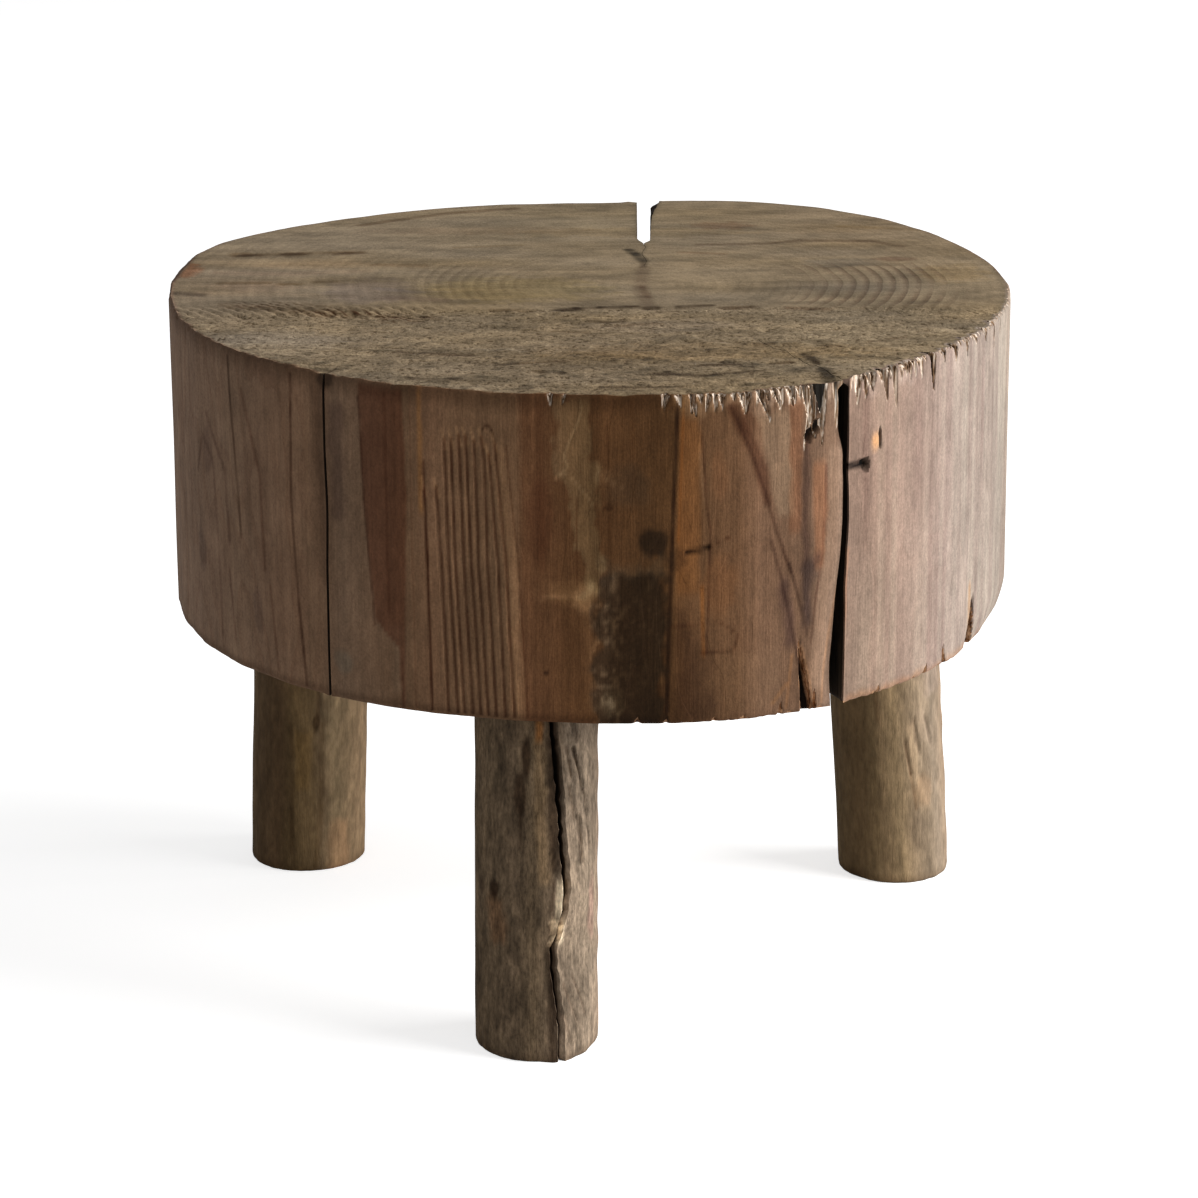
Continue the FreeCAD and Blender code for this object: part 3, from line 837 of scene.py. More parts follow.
# Left and right border by azimuth and height, factor on the colour, softness, raggedness
SIDE_ZONES = [
    ([(-38.8, 236), (-38.4, 202), (-37.2, 165)], [(-36.3, 236), (-36.4, 165)], (0.6, 0.57, 0.56), 1.2,
     0.3),
    ([(-35.7, 230), (-35.6, 190)], [(-33.3, 230), (-33.6, 190)], (0.66, 0.64, 0.68), 0.8, 0.5),
    ([(-31.1, 239), (-30.5, 198), (-29.1, 157), (-25.6, 148), (-25.3, 127)],
     [(-24.7, 239), (-24.1, 200), (-24.6, 160), (-24.9, 127)], (0.68, 0.52, 0.48), 0.3, 0.12),
    ([(-26.8, 156), (-26.2, 132)], [(-24.8, 156), (-25.2, 132)], (1.2, 1.28, 1.35), 0.8, 0.4),
    ([(-22.5, 240), (-22.5, 196)], [(-21.9, 240), (-21.9, 196)], (1.28, 1.12, 0.82), 0.3, 0.1),
    ([(-12.1, 222), (-11.8, 203), (-11.2, 182), (-10.2, 128)],
     [(-10.9, 222), (-10.3, 203), (-9.4, 182), (-8.6, 128)], (1.28, 1.28, 1.25), 0.25, 0.1),
    ([(-4.9, 239), (-4.6, 224), (-4.9, 212), (-2.3, 204), (-1.5, 180), (-1.2, 172)],
     [(-0.2, 239), (0.0, 224), (1.2, 213), (0.6, 204), (1.4, 180), (1.2, 172)], (1.5, 1.85, 2.05), 0.35,
     0.9),
    ([(-6.2, 174.5), (-6.0, 168.5)], [(1.1, 174.5), (0.6, 168.5)], (1.4, 1.5, 1.5), 0.8, 1.3),
    ([(-2.2, 173.5), (-1.6, 166)], [(0.8, 173.5), (0.2, 166)], (1.75, 1.9, 2.05), 0.6, 0.7),
    ([(-1.2, 166), (-0.6, 133)], [(0.2, 166), (0.4, 133)], (1.25, 1.3, 1.35), 0.5, 0.3),
    ([(0.5, 184), (1.6, 178)], [(8.6, 184), (9.0, 178)], (0.95, 1.1, 1.3), 1.2, 1.2),
    ([(1.9, 179.5), (0.5, 168), (0.2, 126)], [(9.4, 179.5), (9.2, 168), (9.0, 126)], (0.54, 0.65, 0.83),
     0.5, 0.9),
    ([(3.0, 179), (2.4, 168), (2.2, 126)], [(9.6, 179), (9.5, 168), (9.3, 126)], (0.52, 0.48, 0.42), 0.7,
     0.5),
    ([(10.2, 168), (9.8, 126)], [(12.4, 168), (15.6, 126)], (0.5, 0.48, 0.5), 2.0, 0.8),
    ([(10.7, 232), (10.4, 172)], [(13.2, 232), (13.4, 172)], (1.2, 1.06, 0.85), 0.4, 0.2),
    ([(16.0, 237), (19.6, 215), (21.2, 200)], [(17.4, 237), (21.2, 215), (22.4, 200)], (0.6, 0.5, 0.47),
     0.4, 0.2),
    ([(20.3, 232), (21.8, 212), (23.2, 196)], [(24.3, 232), (24.8, 212), (25.4, 196)], (1.28, 1.44, 1.5),
     0.5, 0.3),
    ([(24.4, 236), (24.6, 190)], [(26.1, 236), (26.2, 190)], (1.12, 0.95, 0.85), 0.3, 0.2),
    ([(26.3, 224), (26.3, 178)], [(27.3, 224), (27.2, 178)], (0.6, 0.57, 0.62), 0.4, 0.3),
    ([(27.6, 213), (27.9, 176)], [(29.2, 213), (29.0, 176)], (1.3, 1.06, 0.9), 0.3, 0.2),
    ([(29.5, 217), (29.2, 180), (27.8, 150), (27.6, 134)],
     [(31.6, 217), (31.6, 180), (30.4, 150), (30.2, 134)], (1.4, 1.46, 1.5), 0.3, 0.15),
    ([(26.6, 180), (26.2, 156)], [(28.2, 180), (27.2, 156)], (0.46, 0.47, 0.58), 0.6, 0.5),
    ([(23.2, 174), (24.0, 150)], [(24.6, 174), (25.4, 150)], (0.66, 0.64, 0.74), 0.6, 0.4),
    ([(15.2, 150), (15.2, 130)], [(23.5, 150), (23.0, 130)], (1.12, 1.15, 1.15), 1.5, 0.8),
    ([(37.0, 218.5), (37.0, 213.5)], [(38.3, 218.5), (38.3, 213.5)], (1.3, 1.12, 0.86), 0.3, 0.3),
    ([(9.5, 241), (9.5, 235)], [(31.0, 241), (31.0, 235)], (1.7, 1.95, 2.2), 0.5, 1.1),
    ([(33.6, 241), (33.6, 234)], [(46.0, 241), (46.0, 234)], (1.25, 1.32, 1.38), 0.5, 1.1),
    ([(33.6, 128.5), (33.6, 126)], [(75.0, 128.5), (75.0, 126)], (1.14, 0.92, 0.74), 0.5, 0.35),
]
# Places of azimuth and height along each line, half width, factor on the colour
SIDE_LINES = [
    ([(-55.6, 237), (-55.2, 221), (-54.1, 190), (-53.5, 174)], 1.0, (0.36, 0.32, 0.3)),
    ([(-52.6, 226), (-51.0, 213), (-48.9, 197), (-48.4, 165)], 1.3, (0.62, 0.54, 0.52)),
    ([(-62.5, 212), (-61.0, 206), (-57.6, 195), (-56.7, 170)], 1.5, (0.6, 0.55, 0.55)),
    ([(-66.0, 190), (-64.0, 204), (-61.0, 196), (-60.0, 160), (-59.6, 134)], 1.2, (0.66, 0.62, 0.62)),
    ([(-57.0, 160), (-55.6, 135)], 1.2, (0.66, 0.6, 0.6)),
    ([(-47.4, 160), (-46.0, 130)], 0.9, (0.58, 0.5, 0.48)),
    ([(-42.4, 237), (-42.6, 193), (-41.8, 158), (-40.7, 128)], 0.85, (0.34, 0.27, 0.25)),
    ([(-31.1, 234), (-30.5, 198), (-29.2, 155)], 0.6, (0.5, 0.42, 0.4)),
    ([(-39.8, 225), (-39.6, 130)], 1.2, (1.1, 1.1, 1.08)),
    ([(-27.3, 236), (-27.0, 160)], 0.9, (0.8, 0.74, 0.72)),
    ([(-21.7, 214), (-21.1, 128)], 0.6, (0.5, 0.38, 0.34)),
    ([(-23.6, 239), (-23.3, 128)], 0.5, (0.78, 0.72, 0.7)),
    ([(-14.0, 225.5), (-13.4, 228), (-12.7, 227.5), (-12.2, 224)], 0.6, (0.35, 0.3, 0.28)),
    ([(-10.7, 221), (-10.1, 203), (-9.2, 182), (-8.3, 128)], 0.5, (0.62, 0.52, 0.48)),
    ([(-6.6, 236), (-6.2, 180)], 1.8, (0.86, 0.8, 0.78)),
    ([(-1.8, 204), (-1.9, 174)], 0.45, (0.6, 0.5, 0.46)),
    ([(-1.3, 239), (-1.1, 235), (-1.6, 231), (-2.4, 226), (-3.5, 219), (-3.0, 215), (-4.6, 211)], 0.55,
     (1.6, 1.75, 1.85)),
    ([(-4.6, 211), (-3.6, 212.4), (-2.6, 211.6), (-0.7, 206), (0.3, 202)], 0.6, (1.5, 1.6, 1.7)),
    ([(0.8, 217), (1.0, 213), (2.4, 210), (4.0, 208)], 0.5, (1.5, 1.6, 1.7)),
    ([(-6.4, 169.7), (-4.7, 170.8), (-2.0, 171.2)], 1.1, (1.7, 1.85, 1.95)),
    ([(5.0, 238), (5.4, 200)], 1.2, (0.88, 0.84, 0.8)),
    ([(2.0, 230), (2.3, 186)], 0.8, (0.86, 0.82, 0.78)),
    ([(10.5, 239), (9.9, 185), (9.2, 127)], 1.0, (0.2, 0.16, 0.14)),
    ([(11.2, 238), (10.7, 190)], 0.6, (1.25, 1.1, 0.9)),
    ([(13.1, 222), (13.8, 203)], 0.6, (1.4, 1.5, 1.6)),
    ([(13.5, 226), (14.1, 203), (14.6, 193), (14.2, 150)], 0.55, (0.5, 0.42, 0.4)),
    ([(13.6, 174), (13.8, 150)], 0.9, (1.5, 1.2, 0.8)),
    ([(14.4, 187), (16.0, 189.5), (17.6, 191)], 0.45, (0.5, 0.4, 0.36)),
    ([(9.8, 161), (15.6, 161.5), (17.9, 156.6), (17.5, 151.4), (13.5, 151)], 0.7, (0.6, 0.52, 0.48)),
    ([(16.9, 236), (19.6, 218), (21.0, 207), (23.8, 184), (24.8, 176)], 0.8, (0.36, 0.28, 0.26)),
    ([(22.2, 188), (23.6, 174), (25.6, 149), (26.4, 136)], 0.9, (0.32, 0.26, 0.26)),
    ([(24.6, 179), (26.0, 166), (27.0, 154)], 0.9, (0.34, 0.3, 0.3)),
    ([(26.2, 150), (28.2, 129)], 0.8, (1.6, 1.45, 1.2)),
    ([(25.0, 147), (24.2, 129)], 0.7, (1.55, 1.4, 1.15)),
    ([(22.4, 131), (24.2, 137)], 0.9, (1.4, 1.25, 1.0)),
    ([(31.7, 176), (31.0, 160), (29.9, 129)], 0.9, (1.55, 1.42, 1.25)),
    ([(31.9, 206), (31.6, 180)], 0.6, (1.35, 1.35, 1.35)),
    ([(29.1, 212), (28.9, 180), (27.6, 150)], 0.5, (0.7, 0.6, 0.6)),
    ([(26.9, 236), (27.4, 222)], 0.8, (1.9, 1.8, 1.6)),
    ([(33.4, 180), (33.0, 129)], 0.8, (1.3, 1.02, 0.84)),
    ([(35.9, 218), (35.6, 212)], 0.45, (0.4, 0.36, 0.34)),
    ([(61.2, 150), (61.0, 130)], 1.6, (1.1, 0.85, 0.62)),
    # Painted shade: the dark line in the deep slot torn out of the bottom edge.
    ([(62.4, 144.5), (62.2, 131)], 1.4, (0.16, 0.13, 0.12)),
]
# Azimuth and height, half sizes in degrees and millimetres, factor on the colour
SIDE_SPOTS = [
    ((-62.7, 199), (1.5, 9), (0.74, 0.72, 0.74)), ((-65.4, 161), (1.5, 9), (0.72, 0.72, 0.75)),
    ((-50.2, 150), (1.2, 9), (0.76, 0.76, 0.8)), ((-34.1, 140), (1.6, 4.5), (0.9, 1.02, 1.1)),
    ((7.8, 189.5), (2.0, 5.2), (0.3, 0.33, 0.38)), ((10.6, 183.5), (1.7, 4.5), (0.6, 0.6, 0.62)),
    ((-6.5, 197), (1.7, 15), (0.86, 0.78, 0.78)), ((-5.9, 143.7), (0.4, 1.0), (0.3, 0.28, 0.28)),
    ((37.6, 215.5), (0.8, 3.4), (1.5, 1.4, 1.2)), ((-36.2, 238), (1.6, 3.0), (0.4, 0.4, 0.4)),
    ((2.3, 134), (1.6, 6.0), (1.5, 1.7, 1.8)), ((1.6, 212), (1.2, 3.0), (1.3, 1.4, 1.5)),
    ((2.0, 201.5), (0.6, 1.2), (0.55, 0.5, 0.48)), ((19.2, 230), (1.0, 5.0), (0.8, 0.7, 0.66)),
    ((15.6, 212), (1.1, 10), (1.22, 1.15, 1.1)), ((4.6, 209), (3.2, 7.0), (0.84, 0.92, 1.05)),
    # Painted shade, both spots on the next line: nearly black in the deep notch beside the front check, and
    # in the deepest pit.
    ((28.3, 234.5), (0.7, 6.0), (0.15, 0.13, 0.13)), ((35.9, 208.4), (0.5, 1.6), (0.05, 0.045, 0.045)),
    ((15.5, 174), (2.4, 12), (1.12, 1.02, 0.92)),
]


def course(places, height):
    """Azimuth at each height of a line through places of azimuth and height."""
    turns, heights = zip(*sorted(places, key=lambda place: place[1]))
    return np.interp(height, heights, turns)


def paint(colours, across, up, degree, rough, zones, lines, spots, broken=0.25):
    """Darkens or lightens the colours in zones, along lines, which may be broken, and in spots."""
    def tint(mask, factor):
        colours[:] *= 1 + mask[:, None] * (np.array(factor) - 1)

    for left, right, factor, soft, ragged in zones:
        turn = across + ragged * rough
        low, high = left[-1][1], left[0][1]
        mask = ease(turn, course(left, up) - soft, course(left, up) + soft)
        mask *= ease(turn, course(right, up) + soft, course(right, up) - soft)
        level = up + 2.5 * ragged * rough * degree / DEGREE
        tint(mask * ease(level, low - 2, low + 2) * ease(level, high + 2, high - 2), factor)
    fade = np.clip(1 - broken + broken * rough, 0, 1)
    for places, half, factor in lines:
        tint(fade * ease(far_from(across * degree, up, places, degree), half * 1.1, half * 0.3), factor)
    for (turn, at), (wide, tall), factor in spots:
        tint(ease(np.hypot((across - turn) / wide, (up - at) / tall) + 0.22 * rough, 1.2, 0.6), factor)


def band_colours(azimuth, bands):
    """Colours at the azimuths, blended between those of the bands."""
    turns, colours = zip(*bands)
    colours = np.array(colours)
    return np.column_stack([np.interp(azimuth, turns, colours[:, part]) for part in range(3)])


def paint_side(points):
    """Colours of the slab's side at the points."""
    azimuth, height = azimuths(points), points[:, 2]
    wobble = 0.3 * noise(points, (10, 10, 60), 61) + 0.1 * noise(points, (3, 3, 12), 62)
    rough = noise(points, (4.5, 4.5, 7), 63) + 0.6 * noise(points, (1.8, 1.8, 2.8), 64)
    colours = band_colours(azimuth + 2 * wobble, SIDE_BANDS)
    mottle = 0.13 * noise(points, (1.4, 1.4, 2.6), 65) + 0.12 * noise(points, (5, 5, 11), 66)
    streaks = noise(points, (3.4, 3.4, 70), 67) * np.maximum(ease(azimuth, 31, 36), ease(azimuth, -78, -95))
    at_rear = ease(np.abs(azimuth), 85, 110)
    streaks = streaks + 1.6 * at_rear * noise(points, (9, 9, 90), 69)
    streaks = streaks - 2.4 * at_rear * ease(noise(points, (2.0, 2.0, 80), 82), 0.5, 0.8)
    colours *= (1 + mottle)[:, None] * (1 + streaks[:, None] * np.array([0.19, 0.26, 0.24]))
    speckled = ease(azimuth, -1, 1.5) * ease(azimuth, 10, 8) * ease(height, 182, 174)
    grains = ease(noise(points, (1.3, 1.3, 1.5), 68), -0.1, 0.8) * speckled
    grains = grains * (0.2 + 0.8 * ease(azimuth, 4.5, 2))
    colours *= 1 + grains[:, None] * np.array([2.1, 2.5, 2.9])
    furrows = [(places, 0.75, (0.5, 0.4, 0.37)) for places in FURROWS]
    for places in FURROWS:
        furrows.append(([(turn + 0.5, high) for turn, high in places], 0.45, (1.16, 1.16, 1.14)))
    for (turn, high), *_ in FURROWS:
        furrows.append(([(turn - 0.3, high + 3), (turn + 0.3, high - 3)], 0.7, (1.7, 1.7, 1.6)))
    # Painted shade: the pits are painted nearly black inside.
    holes = [([start, end], half * 1.4, (0.03, 0.026, 0.026)) for start, end, half, _ in PITS]
    lines = SIDE_LINES + furrows
    paint(colours, azimuth + 0.6 * wobble, height, DEGREE, rough, SIDE_ZONES, lines, SIDE_SPOTS)
    paint(colours, azimuth, height, DEGREE, rough, [], holes, [], 0.0)
    return colours


# Paint of the top

TOP_BASE = (0.212, 0.16, 0.102)
# X and Y, and what the bare colour of the top is multiplied by about there
TOP_AREAS = [
    ((-95, 85), (1.45, 1.45, 1.43)), ((0, 110), (1.26, 1.26, 1.18)), ((100, 90), (1.02, 0.97, 0.9)),
    ((-125, 10), (1.12, 1.12, 1.18)), ((-45, 0), (1.07, 1.04, 0.93)), ((45, 20), (1.2, 1.2, 1.19)),
    ((105, 0), (1.08, 1.1, 1.12)), ((-90, -75), (1.46, 1.47, 1.5)), ((0, -95), (1.0, 0.95, 0.88)),
    ((90, -75), (1.34, 1.3, 1.18)),
]
# Places of X and Y along each line, half width, factor on the colour
TOP_LINES = [
    ([(-129, 56), (-110, 59), (-85, 61)], 3.4, (0.6, 0.54, 0.48)),
    ([(-92, 58), (-84, 60)], 3.0, (0.34, 0.28, 0.24)), ([(-128, 56), (-121, 57)], 3.0, (0.45, 0.4, 0.35)),
    ([(-112, 58), (-104, 59)], 2.8, (0.4, 0.35, 0.3)), ([(-49, 68), (-25, 71)], 2.2, (0.78, 0.74, 0.68)),
    ([(-128, -22), (-100, -31), (-55, -41)], 5.0, (0.84, 0.8, 0.76)),
    ([(-34, -30), (-20, -31)], 1.6, (0.5, 0.45, 0.4)), ([(-11, -31), (-4, -29)], 2.6, (0.14, 0.11, 0.09)),
    ([(-4, -29), (4, -28)], 1.4, (0.45, 0.4, 0.36)), ([(4, -28), (17, -27)], 2.2, (0.2, 0.16, 0.13)),
    ([(20, -29), (24, -28.5)], 2.4, (0.2, 0.16, 0.13)),
    ([(32, -27.5), (43, -26)], 2.4, (0.18, 0.14, 0.11)), ([(46, -29), (58, -28)], 1.8, (0.4, 0.34, 0.3)),
    ([(24, -33), (31, -32)], 1.6, (0.45, 0.4, 0.36)), ([(1, -45), (12, -47)], 2.0, (0.42, 0.38, 0.34)),
    ([(5, -53), (25, -50)], 1.5, (0.6, 0.54, 0.5)), ([(70, -29), (84, -31)], 1.6, (0.6, 0.5, 0.46)),
    ([(-12, -59), (0, -62)], 1.4, (0.65, 0.6, 0.56)),
    ([(41, 70), (67, 72), (79, 77), (105, 75), (116, 66)], 2.6, (0.55, 0.5, 0.48)),
    ([(95, 101), (125, 94)], 3.0, (0.78, 0.74, 0.66)), ([(34, 58), (50, 55)], 2.2, (0.78, 0.7, 0.66)),
    # Painted shade: the rear check, nearly black where it has closed up on the top.
    ([(15, 62.5), (17.5, 55), (20, 44)], 3.0, (0.05, 0.045, 0.04)),
    ([(20, 44), (20, 34)], 1.8, (0.4, 0.36, 0.34)),
    ([(20, 34), (18.5, 0), (21, -25)], 3.6, (0.66, 0.62, 0.62)),
    ([(19, 4), (21, -14)], 2.0, (0.6, 0.52, 0.48)),
    # Painted shade: the front check, nearly black along the top where it has closed up.
    ([(72, -94), (74.5, -101), (76.5, -107)], 2.2, (0.09, 0.07, 0.06)),
    ([(78, -114), (80.3, -134)], 3.2, (0.06, 0.05, 0.04)),
    ([(23, -120), (33, -121)], 2.2, (0.2, 0.16, 0.14)),
    ([(36, -122), (43, -121)], 2.2, (0.24, 0.2, 0.17)),
    ([(46, -118), (58, -117)], 2.0, (0.24, 0.2, 0.17)),
    ([(37, -110), (50, -109)], 1.8, (0.36, 0.3, 0.27)), ([(4, -137), (30, -137)], 2.0, (0.34, 0.3, 0.27)),
    ([(60, -107), (68, -105)], 1.6, (0.4, 0.35, 0.31)),
    ([(-64, -88), (-40, -93)], 2.6, (0.34, 0.3, 0.28)),
    ([(-60, -123), (-43, -126)], 2.2, (0.3, 0.27, 0.25)),
    ([(-30, -106), (-8, -103)], 1.6, (0.6, 0.54, 0.5)), ([(86, -84), (79, -81)], 1.6, (0.5, 0.44, 0.4)),
    ([(96, -77), (108, -70)], 1.4, (0.66, 0.6, 0.56)), ([(57, -80), (62, -79)], 1.8, (0.45, 0.4, 0.36)),
    ([(-86, 107), (-55, 127), (-28, 135)], 3.0, (0.5, 0.44, 0.4)),
    ([(-152, -2), (-138, -6)], 4.0, (0.36, 0.34, 0.36)),
    ([(-132, 12), (-116, 12)], 3.0, (0.66, 0.6, 0.52)),
    ([(-110, 10), (-104, 10)], 2.6, (0.6, 0.54, 0.46)), ([(-98, 13), (-91, 13)], 2.4, (0.62, 0.56, 0.5)),
    ([(-142, 44), (-115, 43), (-88, 46)], 7.0, (1.14, 1.12, 1.1)),
    ([(-138, -3), (-110, -6), (-84, -9)], 5.0, (1.2, 1.18, 1.16)),
    ([(-134, 28), (-110, 26), (-80, 30)], 4.0, (1.12, 1.06, 1.04)),
    ([(-78, 40), (-60, 38)], 3.0, (0.76, 0.7, 0.66)), ([(-70, -12), (-52, -16)], 5.0, (0.8, 0.76, 0.8)),
    ([(-40, -84), (-22, -87)], 2.0, (1.15, 1.2, 1.3)), ([(-75, 2), (-60, -4)], 3.0, (0.8, 0.82, 0.92)),
]
# X and Y, half sizes, factor on the colour
TOP_SPOTS = [
    ((-26, 0), (34, 20), (1.04, 1.02, 0.86)), ((-78, -2), (18, 20), (0.86, 0.86, 0.96)),
    ((25, -53), (30, 10), (1.0, 1.02, 1.1)), ((-147, 34), (6, 12), (1.02, 0.7, 0.58)),
    ((-108, -76), (27, 22), (1.14, 1.17, 1.24)), ((-120, 6), (17, 9), (1.12, 1.08, 1.08)),
    ((-100, 40), (24, 7), (1.08, 1.05, 1.03)), ((93, 40), (15, 7), (0.84, 0.88, 0.98)),
    ((112, 45), (8, 4), (0.74, 0.66, 0.66)), ((131, 22), (14, 16), (1.1, 1.04, 0.9)),
    ((50, 103), (12, 7), (0.84, 0.74, 0.7)), ((-9, -117), (1.8, 2.2), (0.25, 0.22, 0.2)),
    ((-16, -115), (3, 2), (0.6, 0.55, 0.5)), ((-128, 58), (5, 4), (0.7, 0.64, 0.58)),
    ((-109, 57), (5, 4), (0.66, 0.6, 0.54)), ((16, 92), (50, 9), (1.06, 1.02, 0.94)),
    ((-40, 96), (46, 7), (0.9, 0.87, 0.86)), ((40, -90), (60, 14), (0.95, 0.9, 0.82)),
]


def paint_top(points, from_rim):
    """Colours of the top at the points, how plain growth rings are there, and how rough the sawing."""
    x, y = points[:, 0], points[:, 1]
    weights = np.array([1 / (np.hypot(x - at[0], y - at[1]) + 12) ** 2 for at, _ in TOP_AREAS])
    level = weights.T @ np.array([factor for _, factor in TOP_AREAS]) / weights.sum(axis=0)[:, None]
    smears = 0.2 * noise(points, (40, 9, 9), 71) + 0.18 * noise(points, (15, 4.5, 9), 72)
    smears = smears + 0.16 * noise(points, (6, 4, 9), 73)
    warmth = noise(points, (46, 14, 9), 74)[:, None] * [0.03, 0.0, -0.07]
    colours = np.array(TOP_BASE) * level * (1 + smears[:, None]) * (1 + warmth)
    rough = noise(points, (5, 3, 7), 75) + 0.6 * noise(points, (2.2, 1.8, 9), 76)
    front = front_share(points)
    paint(colours, x, y, 1.0, rough, [], TOP_LINES, TOP_SPOTS, 0.18)
    # Marks of the saw's teeth along the step on the left, painted dark as the shade on their faces.
    from_step = np.abs(y + 31 + 0.27 * (x + 92) + 3 * noise(points, (22, 22, 9), 77))
    teeth = ease(from_step, 9, 3) * ease(x, -132, -120) * ease(x, -48, -60)
    sawn = np.sin((x + 1.1 * y + 2.0 * noise(points, (7, 7, 9), 78)) * 2 * math.pi / 4.2)
    colours *= 1 - 0.85 * (teeth * ease(sawn + 0.6 * rough, 0.1, 0.9))[:, None] * [0.9, 1.0, 1.05]
    clumps = ease(noise(points, (5.2, 3.2, 9), 79) + 0.5 * rough, 0.35, 0.9) * front * ease(y, -60, -105)
    colours *= 1 - 0.45 * clumps[:, None]
    # Darker right at the rim.
    darker_at_rim = ease(from_rim, 1.6, 0) * (0.35 + 0.3 * noise(points, (30, 30, 9), 80))
    colours *= 1 - darker_at_rim[:, None]
    right = ease(x, 58, 86) * ease(x, 142, 112) * ease(y, -36, -18) * ease(y, 46, 26)
    left = ease(x, -10, -28) * ease(x, -68, -52) * ease(y, -20, -5) * ease(y, 48, 34)
    rings = 0.03 + right + 0.3 * left
    rings *= 0.6 + 0.4 * noise(points, (26, 18, 9), 81)
    return colours, np.clip(rings, 0, 1), front


# Paint of the poles

# Colours round each pole, by the azimuth on it: lighter on the side towards the key light, partly the wood's
# own colour and partly painted light
LEG_BANDS = {
    "front": [
        (-180, (0.1, 0.068, 0.042)), (-90, (0.126, 0.086, 0.05)), (-50, (0.145, 0.1, 0.06)),
        (-20, (0.14, 0.096, 0.059)), (0, (0.126, 0.086, 0.05)), (16, (0.138, 0.096, 0.061)),
        (24, (0.216, 0.16, 0.111)), (60, (0.24, 0.181, 0.127)), (90, (0.21, 0.15, 0.105)),
        (180, (0.1, 0.068, 0.042)),
    ],
    "left": [
        (-180, (0.1, 0.065, 0.036)), (-90, (0.128, 0.084, 0.046)), (-28, (0.138, 0.084, 0.043)),
        (-18, (0.142, 0.09, 0.043)), (-10, (0.19, 0.122, 0.057)), (8, (0.188, 0.123, 0.06)),
        (16, (0.214, 0.144, 0.08)), (30, (0.338, 0.24, 0.134)), (60, (0.342, 0.23, 0.131)),
        (180, (0.1, 0.065, 0.036)),
    ],
    "right": [
        (-180, (0.1, 0.066, 0.038)), (-90, (0.139, 0.096, 0.05)), (-40, (0.139, 0.089, 0.044)),
        (-20, (0.15, 0.1, 0.05)), (-10, (0.224, 0.15, 0.079)), (6, (0.26, 0.18, 0.097)),
        (20, (0.24, 0.17, 0.102)), (50, (0.228, 0.173, 0.121)), (90, (0.25, 0.175, 0.115)),
        (180, (0.1, 0.066, 0.038)),
    ],
}
# The same tables for the poles, by the azimuth on the pole and the height
LEG_ZONES = {
    "front": [
        ([(0, 127), (0, 115)], [(6, 127), (6, 115)], (1.7, 1.1, 0.62), 2.0, 1.0),
        ([(-2, 116), (2, 64)], [(8, 116), (13, 64)], (1.5, 1.42, 1.26), 3.0, 2.0),
        ([(8, 127), (13, 68)], [(17, 127), (22, 68)], (0.5, 0.45, 0.42), 2.2, 1.2),
        ([(8, 40), (13, 0)], [(16, 40), (20, 0)], (0.6, 0.56, 0.54), 2.4, 1.2),
        ([(-52, 58), (-50, 41)], [(-32, 58), (-30, 41)], (1.18, 0.98, 0.86), 6.0, 4.0),
        ([(18, 65), (17, 53)], [(24, 65), (23, 53)], (4.4, 4.8, 4.8), 1.2, 0.6),
        ([(12, 51), (13, 43)], [(20, 51), (20, 43)], (5.0, 5.2, 5.0), 1.5, 2.0),
        ([(20, 51), (20, 42)], [(27, 51), (25, 42)], (3.0, 3.2, 3.2), 1.5, 2.0),
    ],
    "left": [
        ([(-13, 57), (-12, 34)], [(4, 57), (4, 34)], (1.18, 1.12, 0.95), 4.0, 2.0),
        # Painted light: a lighter patch low on the side towards the key, below the seat's shadow.
        ([(24, 20), (24, -1)], [(48, 20), (48, -1)], (1.25, 1.1, 1.05), 6.0, 3.0),
    ],
    "right": [
        ([(18, 66), (22, 40)], [(26, 66), (31, 40)], (1.3, 1.28, 1.26), 2.5, 1.5),
        ([(30, 70), (33, 56)], [(40, 70), (46, 56)], (1.22, 1.22, 1.24), 2.5, 1.5),
        ([(38, 95), (40, 74)], [(70, 95), (70, 74)], (1.12, 1.12, 1.2), 4.0, 3.0),
    ],
}
